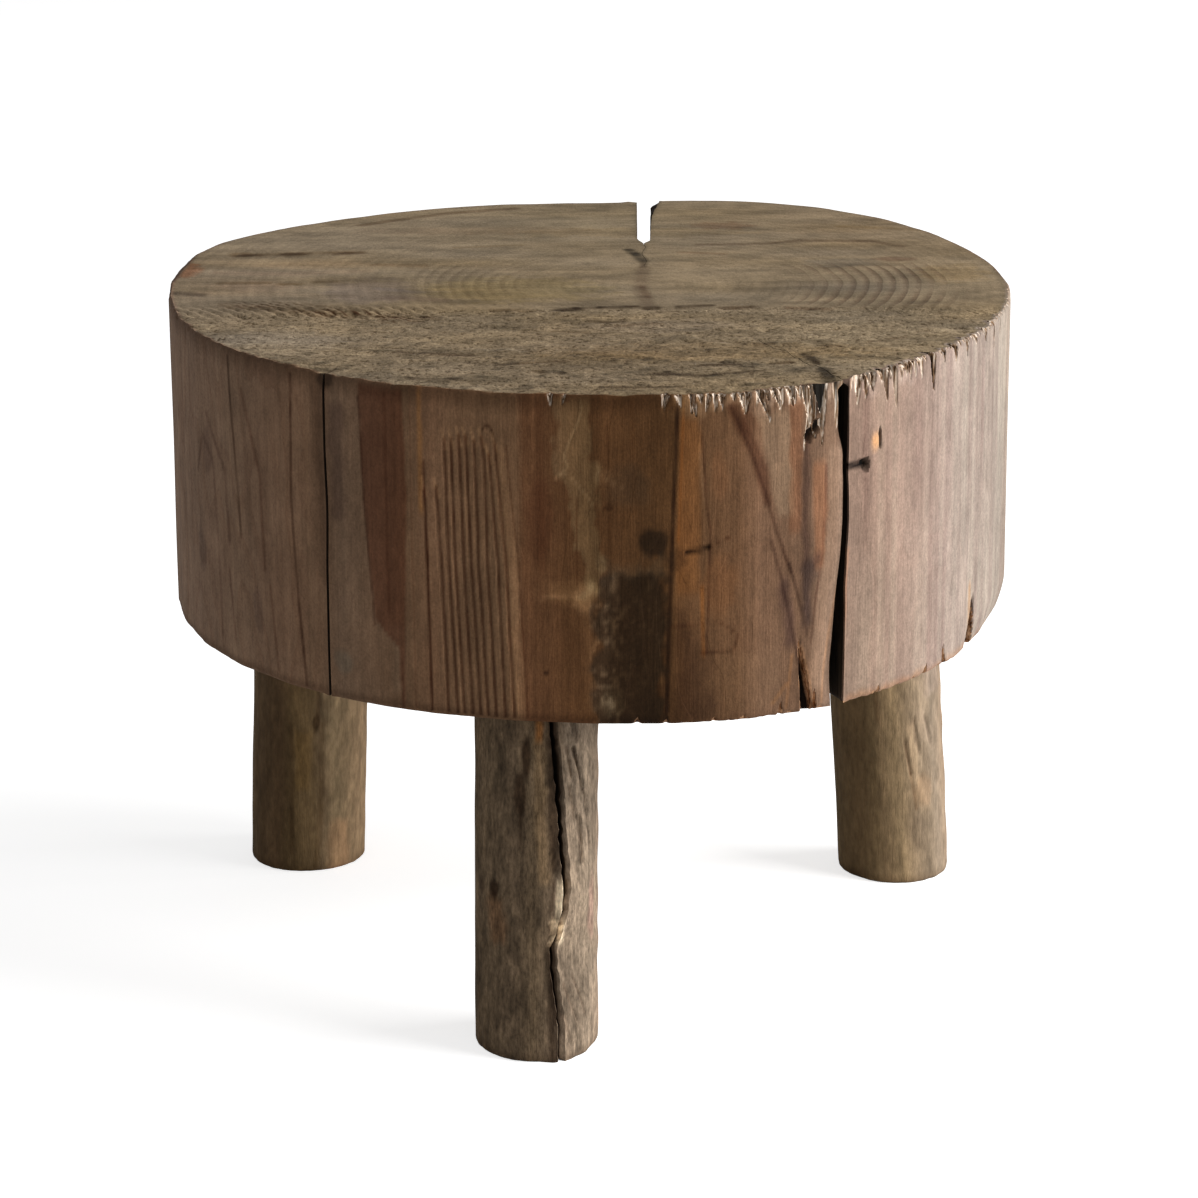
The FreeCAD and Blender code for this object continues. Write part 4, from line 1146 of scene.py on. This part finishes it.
LEG_LINES = {
    "front": [
        ([(32, 127), (41, 113)], 0.5, (0.5, 0.45, 0.42)),
        ([(36, 111), (43, 102), (47, 95)], 1.0, (0.2, 0.17, 0.15)),
        ([(50, 95), (54, 84), (58, 74)], 1.0, (0.22, 0.18, 0.16)),
        ([(40, 87), (43, 70)], 0.95, (0.2, 0.17, 0.15)), ([(27, 112), (33, 101)], 0.7, (0.45, 0.4, 0.37)),
        ([(30, 98), (36, 86)], 0.8, (0.5, 0.46, 0.43)), ([(26, 28), (40, 12)], 0.6, (0.66, 0.6, 0.57)),
        ([(36, 30), (52, 14)], 0.6, (0.66, 0.6, 0.57)), ([(24, 18), (34, 6)], 0.6, (0.7, 0.65, 0.62)),
        ([(16, 66), (13, 54)], 0.5, (0.4, 0.35, 0.32)), ([(27, 66), (25, 50)], 0.7, (0.3, 0.26, 0.24)),
        ([(12, 50), (14, 30), (18, 14)], 0.9, (0.45, 0.4, 0.38)),
        ([(-15, 92), (-16, 76)], 0.8, (0.55, 0.5, 0.48)), ([(18, 48), (22, 44)], 0.6, (0.2, 0.16, 0.13)),
        ([(12, 46), (17, 47)], 0.5, (0.25, 0.2, 0.17)), ([(20, 51), (24, 47)], 0.5, (0.3, 0.25, 0.2)),
    ],
    "left": [
        ([(-16, 60), (-14, 8)], 1.2, (0.72, 0.68, 0.66)), ([(10, 84), (12, 62)], 1.2, (0.6, 0.56, 0.52)),
        ([(16, 60), (14, 20), (10, 2)], 1.6, (0.76, 0.72, 0.66)),
    ],
    "right": [
        ([(15, 58), (20, 44)], 0.8, (0.5, 0.44, 0.42)), ([(26, 66), (31, 52)], 0.7, (0.52, 0.48, 0.46)),
        ([(40, 66), (48, 54)], 1.0, (0.66, 0.64, 0.64)), ([(20, 44), (24, 30)], 1.0, (0.74, 0.66, 0.6)),
        ([(-14, 84), (-12, 66)], 1.6, (0.72, 0.66, 0.62)),
    ],
}
LEG_MARKS = {
    "front": [
        ((-9, 109), (5, 9), (0.3, 0.26, 0.24)), ((-15, 95), (7, 10), (0.34, 0.3, 0.28)),
        ((-43, 61), (6, 3.6), (0.24, 0.2, 0.18)), ((62, 52), (8, 13), (1.06, 0.92, 0.96)),
        ((-62, 60), (5, 3), (0.66, 0.62, 0.62)),
    ],
    "left": [
        ((10, 61), (4, 4), (0.42, 0.38, 0.34)),
    ],
    "right": [
        ((24, 22), (12, 10), (0.82, 0.82, 0.84)), ((34, 36), (12, 8), (1.14, 1.06, 1.0)),
    ],
}
# Lumps of torn fibres: azimuth on the pole and height, half sizes, and how high they stand
LEG_TUFTS = {
    "front": [
        ((15, 47), (5, 4), 1.3), ((22, 48), (4, 4), 1.0),
    ],
    "left": [],
    "right": [],
}


def paint_leg(name, local, height):
    """Colours of a pole at points about its axis."""
    points = np.column_stack([local, height])
    seed = LEG_LOOKS[name]["seed"]
    angle = azimuth_of(local)
    wobble = 5 * noise(points, (9, 9, 30), seed + 5)
    # The bands carry painted light: each pole is lighter on its side towards the key light.
    colours = band_colours(angle + wobble, LEG_BANDS[name])
    mottle = 0.8 * noise(points, (4, 4, 11), seed + 6) + noise(points, (1.6, 1.6, 3.6), seed + 7)
    mottle = mottle + 0.8 * noise(points, (6, 6, 26), seed + 10)
    colours *= (1 + LEG_LOOKS[name]["mottled"] * mottle)[:, None]
    rough = noise(points, (3, 3, 6), seed + 8) + 0.6 * noise(points, (1.3, 1.3, 2.5), seed + 9)
    degree = degree_on(local)
    zones, lines, marks = LEG_ZONES[name], LEG_LINES[name], LEG_MARKS[name]
    paint(colours, angle + 0.3 * wobble, height, degree, rough, zones, lines, marks)
    return colours


# Materials

class Wood:
    """A wood's node tree, with short calls that add a node and give back its output."""

    def __init__(self, name, roughness):
        self.material = bpy.data.materials.new(name)
        self.material.use_nodes = True
        self.tree = self.material.node_tree
        self.shader = self.tree.nodes["Principled BSDF"]
        self.shader.inputs["Specular IOR Level"].default_value = WOOD_GLOSS
        self.shader.inputs["Roughness"].default_value = roughness
        place = self.tree.nodes.new("ShaderNodeTexCoord").outputs["Object"]
        self.place = self.vector("SCALE", place, scale=1 / MM)

    def put(self, socket, value):
        """Links another node's output to the socket, or sets the socket to a value."""
        if isinstance(value, bpy.types.NodeSocket):
            self.tree.links.new(value, socket)
        else:
            socket.default_value = value

    def vector(self, operation, first, second=(0, 0, 0), scale=1.0):
        node = self.tree.nodes.new("ShaderNodeVectorMath")
        node.operation = operation
        self.put(node.inputs[0], first)
        self.put(node.inputs[1], second)
        if operation == "SCALE":
            node.inputs["Scale"].default_value = scale
        return node.outputs["Value" if operation == "LENGTH" else "Vector"]

    def math(self, operation, first, second=0.0):
        node = self.tree.nodes.new("ShaderNodeMath")
        node.operation = operation
        self.put(node.inputs[0], first)
        self.put(node.inputs[1], second)
        return node.outputs[0]

    def add(self, *values):
        total = values[0]
        for value in values[1:]:
            total = self.math("ADD", total, value)
        return total

    def times(self, *values):
        total = values[0]
        for value in values[1:]:
            total = self.math("MULTIPLY", total, value)
        return total

    def less(self, first, second):
        return self.math("SUBTRACT", first, second)

    def ease(self, value, start, end, low=0.0, high=1.0):
        """low before start, high after end, and smooth between them."""
        node = self.tree.nodes.new("ShaderNodeMapRange")
        node.interpolation_type = "SMOOTHSTEP"
        self.put(node.inputs["Value"], value)
        if start < end:
            limits = (start, end, low, high)
        else:
            limits = (end, start, high, low)
        for socket, limit in zip(("From Min", "From Max", "To Min", "To Max"), limits):
            node.inputs[socket].default_value = limit
        return node.outputs["Result"]

    def parts(self, vector):
        node = self.tree.nodes.new("ShaderNodeSeparateXYZ")
        self.put(node.inputs[0], vector)
        return node.outputs[0], node.outputs[1], node.outputs[2]

    def noise(self, sizes, detail=3.0, roughness=0.55, shift=(0, 0, 0), place=None):
        """Noise from 0 to 1, with lumps of about those sizes along X, Y and Z."""
        spot = self.vector("ADD", self.place if place is None else place, shift)
        spot = self.vector("MULTIPLY", spot, tuple(1 / size for size in sizes))
        node = self.tree.nodes.new("ShaderNodeTexNoise")
        self.put(node.inputs["Vector"], spot)
        node.inputs["Scale"].default_value = 1.0
        node.inputs["Detail"].default_value = detail
        node.inputs["Roughness"].default_value = roughness
        return node.outputs[0]

    def ramp(self, value, stops):
        """Colours at those values, and blends between them."""
        first, last = stops[0][0], stops[-1][0]
        share = self.math("DIVIDE", self.less(value, first), last - first)
        node = self.tree.nodes.new("ShaderNodeValToRGB")
        self.put(node.inputs[0], share)
        elements = node.color_ramp.elements
        while len(elements) < len(stops):
            elements.new(0.5)
        for element, (at, colour) in zip(elements, stops):
            element.position = (at - first) / (last - first)
            element.color = (*colour, 1)
        return node.outputs[0]

    def blend(self, first, second, share, mode="MIX"):
        node = self.tree.nodes.new("ShaderNodeMix")
        node.data_type = "RGBA"
        node.blend_type = mode
        self.put(node.inputs[0], share)
        for socket, colour in ((node.inputs[6], first), (node.inputs[7], second)):
            self.put(socket, colour if isinstance(colour, bpy.types.NodeSocket) else (*colour, 1))
        return node.outputs[2]

    def shade(self, colour, factor, share):
        """The colour times the factor, for that share."""
        return self.blend(colour, factor, share, "MULTIPLY")

    def grade(self, colour, value, low, high):
        """The colour times low at values of 0.25 and less, and times high at 0.75 and more."""
        level = self.ramp(value, [(0.25, (low,) * 3), (0.75, (high,) * 3)])
        return self.shade(colour, level, 1.0)

    def painted(self, name, kind="Fac"):
        """What was painted on the points of the mesh under that name."""
        node = self.tree.nodes.new("ShaderNodeAttribute")
        node.attribute_name = name
        return node.outputs[kind]

    def around(self, centre):
        """Azimuth about an upright axis, in degrees, and the height."""
        x, y, z = self.parts(self.place)
        turn = self.math("ARCTAN2", self.less(x, float(centre[0])), self.less(float(centre[1]), y))
        return self.times(turn, 180 / math.pi), z

    def finish(self, colour, height, strength, distance):
        """The material, with that colour and with bumps of that height."""
        bump = self.tree.nodes.new("ShaderNodeBump")
        bump.inputs["Strength"].default_value = strength
        bump.inputs["Distance"].default_value = distance * MM
        self.put(bump.inputs["Height"], height)
        self.put(self.shader.inputs["Normal"], bump.outputs[0])
        self.put(self.shader.inputs["Base Color"], colour)
        return self.material


def side_wood():
    """The hewn side: the painted colours, with grain, torn edges, painted shade in deep notches, and darker
    edges.
    """
    wood = Wood("hewn_side", 0.85)
    azimuth, z = wood.around(LOG_CENTRE)
    colour = wood.painted("tint", "Color")
    patches = wood.noise((22, 22, 50), 4.0, 0.6, (40, 0, 0))
    colour = wood.grade(colour, patches, 0.84, 1.16)
    streaks = wood.noise((2.2, 2.2, 110), 4.0, 0.65)
    colour = wood.grade(colour, streaks, 0.84, 1.16)
    # Growth rings, cut lengthwise: long lines that close into arches
    flat = wood.vector("MULTIPLY", wood.place, (1, 1, 0))
    from_pith = wood.vector("LENGTH", wood.vector("SUBTRACT", flat, (*PITH, 0)))
    sway = wood.times(wood.less(wood.noise((34, 34, 110), 2.0, 0.5, (0, 70, 0)), 0.5), 34.0)
    rings = wood.math("FRACT", wood.math("DIVIDE", wood.add(from_pith, sway), SIDE_RING_WIDTH))
    late = wood.times(wood.ease(rings, 0.35, 0.92), wood.ease(rings, 1.0, 0.95))
    arches = wood.ease(azimuth, -36, -44, 0.1, 0.3)
    colour = wood.shade(colour, (0.66, 0.56, 0.52), wood.times(late, arches))
    # Freshly torn wood, with painted shade deep in the notches, and darker along both edges on the left half
    fibres = wood.noise((0.9, 0.9, 14), 2.0, 0.6, (3, 3, 0))
    fresh = [(0.36, (0.03, 0.018, 0.011)), (0.46, (0.28, 0.17, 0.095)), (0.6, (0.74, 0.63, 0.52))]
    torn = wood.ramp(fibres, fresh)
    # Painted shade: the deeper a notch bites, the darker it is.
    torn = wood.grade(torn, wood.painted("deep"), 1.0, 0.02)
    torn = wood.shade(torn, (0.62, 0.42, 0.28), wood.ease(z, 170, 150))
    colour = wood.blend(colour, torn, wood.ease(wood.painted("torn"), 0.08, 0.5))
    darker_edges = wood.add(wood.ease(z, 231, 238), wood.ease(z, 131, 127.5))
    colour = wood.shade(colour, (0.55, 0.52, 0.5), wood.times(darker_edges, wood.ease(azimuth, 12, 6), 0.85))
    specks = wood.noise((0.8, 0.8, 1.0), 2.0, 0.65, (0, 0, 50))
    colour = wood.grade(colour, specks, 0.8, 1.2)
    pores = wood.noise((0.7, 0.7, 9), 3.0, 0.6)
    colour = wood.grade(colour, pores, 0.9, 1.1)
    height = wood.add(wood.times(streaks, 0.5), wood.times(pores, 0.45), wood.times(late, -0.2),
                      wood.times(specks, 0.3))
    return wood.finish(colour, height, strength=0.6, distance=0.6)


def ring_lines(wood):
    """Dark lines of the growth rings about the pith, from 0 to 1."""
    level = wood.vector("MULTIPLY", wood.place, (1, 1, 0))
    bend = wood.times(wood.less(wood.noise((60, 60, 60), 2.0, 0.5), 0.5), 9.0)
    from_pith = wood.add(wood.vector("LENGTH", wood.vector("SUBTRACT", level, (*PITH, 0))), bend)
    ring = wood.math("FRACT", wood.math("DIVIDE", from_pith, RING_WIDTH))
    return wood.times(wood.ease(ring, 0.2, 0.8), wood.ease(ring, 1.0, 0.86))


def top_wood():
    """The sawn top: the painted colours, with growth rings and rough specks."""
    wood = Wood("sawn_top", 0.9)
    colour = wood.painted("tint", "Color")
    late = wood.times(ring_lines(wood), wood.painted("rings"))
    colour = wood.shade(colour, (0.42, 0.35, 0.34), late)
    # Furry rough-sawn front, with light and dark specks
    specks = wood.noise((1.9, 1.7, 2), 3.0, 0.65, (17, 0, 0))
    rough = wood.ease(wood.painted("front"), 0, 1, 0.2, 1.0)
    colour = wood.shade(colour, (0.3, 0.26, 0.22), wood.times(wood.ease(specks, 0.48, 0.34), rough, 0.9))
    colour = wood.shade(colour, (1.7, 1.75, 1.8), wood.times(wood.ease(specks, 0.55, 0.7), rough, 0.6))
    smears = wood.noise((16, 2.6, 50), 4.0, 0.65, (5, 0, 0))
    colour = wood.grade(colour, smears, 0.86, 1.14)
    fine = wood.noise((0.9, 0.9, 0.9), 2.0, 0.6)
    colour = wood.grade(colour, fine, 0.84, 1.16)
    height = wood.add(wood.times(specks, rough, 1.4), wood.times(smears, 0.5), wood.times(late, -0.25),
                      wood.times(fine, 0.35))
    return wood.finish(colour, height, strength=0.6, distance=0.8)


def wall_wood():
    """The walls of the drying checks, painted nearly black for the shade inside them."""
    wood = Wood("check_wall", 0.95)
    fibres = wood.noise((1.6, 1.6, 22), 3.0, 0.6)
    stops = [(0.3, (0.01, 0.007, 0.005)), (0.55, (0.026, 0.017, 0.011)), (0.8, (0.07, 0.046, 0.029))]
    colour = wood.ramp(fibres, stops)
    return wood.finish(colour, fibres, strength=0.6, distance=0.6)


def under_wood():
    """The sawn underside and the mortises, which have no paint."""
    wood = Wood("sawn_underside", 0.92)
    late = ring_lines(wood)
    broad = wood.noise((60, 40, 50), 4.0, 0.6, (0, 0, 60))
    stops = [(0.25, (0.15, 0.1, 0.06)), (0.5, (0.21, 0.15, 0.092)), (0.75, (0.27, 0.2, 0.13))]
    colour = wood.ramp(broad, stops)
    specks = wood.noise((2.4, 1.2, 2), 3.0, 0.65)
    colour = wood.grade(colour, specks, 0.6, 1.35)
    colour = wood.shade(colour, (0.55, 0.45, 0.4), wood.times(late, 0.5))
    x, y, _ = wood.parts(wood.place)
    across = wood.add(y, wood.times(x, 0.12), wood.times(broad, 8.0))
    sawn = wood.math("SINE", wood.times(across, 2 * math.pi / 6.5))
    colour = wood.grade(colour, wood.ease(sawn, -1, 1), 0.86, 1.1)
    height = wood.add(specks, wood.times(sawn, 0.4), wood.times(late, -0.3))
    return wood.finish(colour, height, strength=0.6, distance=0.8)


# Random seed of each pole, how wavy its weathered side is, and how strong its marks are
LEG_LOOKS = {
    "front": dict(seed=41, wavy=1.0, mottled=0.34, flecked=0.5, fibrous=0.26),
    "left": dict(seed=47, wavy=0.3, mottled=0.24, flecked=0.2, fibrous=0.14),
    "right": dict(seed=53, wavy=0.8, mottled=0.22, flecked=0.2, fibrous=0.14),
}


def pole_wood(name, look):
    """A peeled pole: the painted colours, with fibres, a painted shadow just under the seat, and painted
    shade inside its check.
    """
    wood = Wood("peeled_pole_" + name, 0.86)
    _, _, z = wood.parts(wood.place)
    shift = (look["seed"], 0, 0)
    colour = wood.painted("tint", "Color")
    fibres = wood.noise((1.7, 1.7, 20), 3.0, 0.65, shift)
    colour = wood.grade(colour, fibres, 1 - look["fibrous"], 1 + look["fibrous"])
    flecks = wood.noise((1.0, 1.0, 2.4), 3.0, 0.65, shift)
    colour = wood.grade(colour, flecks, 1 - look["flecked"], 1 + look["flecked"])
    # Painted shadow of the seat: darker in the top few millimetres under it.
    colour = wood.shade(colour, (0.5, 0.47, 0.45), wood.times(wood.ease(z, 119, 127), 0.5))
    colour = wood.shade(colour, (0.62, 0.58, 0.55), wood.times(wood.ease(z, 5, 0.5), 0.7))
    # Painted shade inside the check: dark, and nearly black deep in it.
    colour = wood.blend(colour, (0.05, 0.032, 0.02), wood.ease(wood.painted("deep"), 0.04, 0.25))
    colour = wood.blend(colour, (0.014, 0.009, 0.006), wood.ease(wood.painted("deep"), 0.3, 0.7))
    height = wood.add(wood.times(fibres, 0.8), wood.times(flecks, 0.4))
    return wood.finish(colour, height, strength=0.6, distance=0.7)


def wedge_wood():
    """The pale split wood of the wedges."""
    wood = Wood("split_wedge", 0.85)
    fibres = wood.noise((1.2, 1.2, 20), 3.0, 0.6)
    stops = [(0.3, (0.2, 0.13, 0.075)), (0.6, (0.3, 0.21, 0.125)), (0.8, (0.36, 0.27, 0.17))]
    colour = wood.ramp(fibres, stops)
    return wood.finish(colour, fibres, strength=0.4, distance=0.4)


# Stage, light and camera

def seen_directly(tree):
    """1 for what the camera sees, also in gloss or through glass, and 0 for light that falls on things."""
    path = tree.nodes.new("ShaderNodeLightPath")
    total = path.outputs["Is Camera Ray"]
    for other in ("Is Glossy Ray", "Is Transmission Ray"):
        sum_node = tree.nodes.new("ShaderNodeMath")
        sum_node.use_clamp = True
        tree.links.new(total, sum_node.inputs[0])
        tree.links.new(path.outputs[other], sum_node.inputs[1])
        total = sum_node.outputs[0]
    return total


def chosen(tree, switch, off, on):
    """The value off where the switch is 0, and on where it is 1."""
    node = tree.nodes.new("ShaderNodeMix")
    node.inputs[2].default_value = off
    node.inputs[3].default_value = on
    tree.links.new(switch, node.inputs[0])
    return node.outputs[0]


def add_floor():
    mesh = bpy.data.meshes.new("floor")
    corners = [(x * FLOOR_REACH, y * FLOOR_REACH, 0) for x, y in ((-1, -1), (1, -1), (1, 1), (-1, 1))]
    mesh.from_pydata(corners, [], [(0, 1, 2, 3)])
    floor = bpy.data.objects.new("floor", mesh)
    bpy.context.scene.collection.objects.link(floor)
    material = bpy.data.materials.new("floor")
    material.use_nodes = True
    tree = material.node_tree
    shader = tree.nodes["Principled BSDF"]
    shader.inputs["Base Color"].default_value = (FLOOR_GREY, FLOOR_GREY, FLOOR_GREY, 1)
    shader.inputs["Roughness"].default_value = 1.0
    shader.inputs["Specular IOR Level"].default_value = 0.0
    shader.inputs["Emission Color"].default_value = (1, 1, 1, 1)
    tree.links.new(chosen(tree, seen_directly(tree), 0.0, FLOOR_GLOW), shader.inputs["Emission Strength"])
    mesh.materials.append(material)


def add_key():
    light = bpy.data.lights.new("key", "AREA")
    light.shape = "SQUARE"
    light.size = KEY_SIZE
    light.energy = KEY_POWER
    lamp = bpy.data.objects.new("key", light)
    elevation = math.radians(KEY_ELEVATION)
    x, y = outward(KEY_AZIMUTH) * math.cos(elevation)
    towards = Vector((x, y, math.sin(elevation)))
    lamp.location = Vector((0, 0, KEY_AIM)) + towards * KEY_DISTANCE
    lamp.rotation_euler = towards.to_track_quat("Z", "Y").to_euler()
    bpy.context.scene.collection.objects.link(lamp)


def add_world():
    world = bpy.data.worlds.new("studio")
    world.use_nodes = True
    tree = world.node_tree
    background = tree.nodes["Background"]
    background.inputs["Color"].default_value = (1, 1, 1, 1)
    tree.links.new(chosen(tree, seen_directly(tree), WORLD_LIGHT, 1.0), background.inputs["Strength"])
    bpy.context.scene.world = world


def add_camera():
    camera = bpy.data.objects.new("camera", bpy.data.cameras.new("camera"))
    camera.data.lens = CAMERA_LENS
    camera.data.sensor_width = CAMERA_SENSOR
    turn = Matrix.Rotation(math.radians(CAMERA_YAW), 4, "Z")
    tilt = Matrix.Rotation(math.radians(90 - CAMERA_PITCH), 4, "X")
    roll = Matrix.Rotation(math.radians(CAMERA_ROLL), 4, "Z")
    camera.matrix_world = Matrix.Translation(Vector(CAMERA_AT) * MM) @ turn @ tilt @ roll
    bpy.context.scene.collection.objects.link(camera)
    bpy.context.scene.camera = camera


build_seat([top_wood(), side_wood(), wall_wood(), under_wood()])
wedge_material = wedge_wood()
for leg_name, leg_look in LEG_LOOKS.items():
    build_leg(leg_name, leg_look, pole_wood(leg_name, leg_look))
    wedge = frame["nodes"]["fox_wedge_" + leg_name]
    wedge.data.materials.clear()
    wedge.data.materials.append(wedge_material)
add_floor()
add_world()
add_key()
add_camera()
bpy.context.scene.view_settings.view_transform = "Standard"
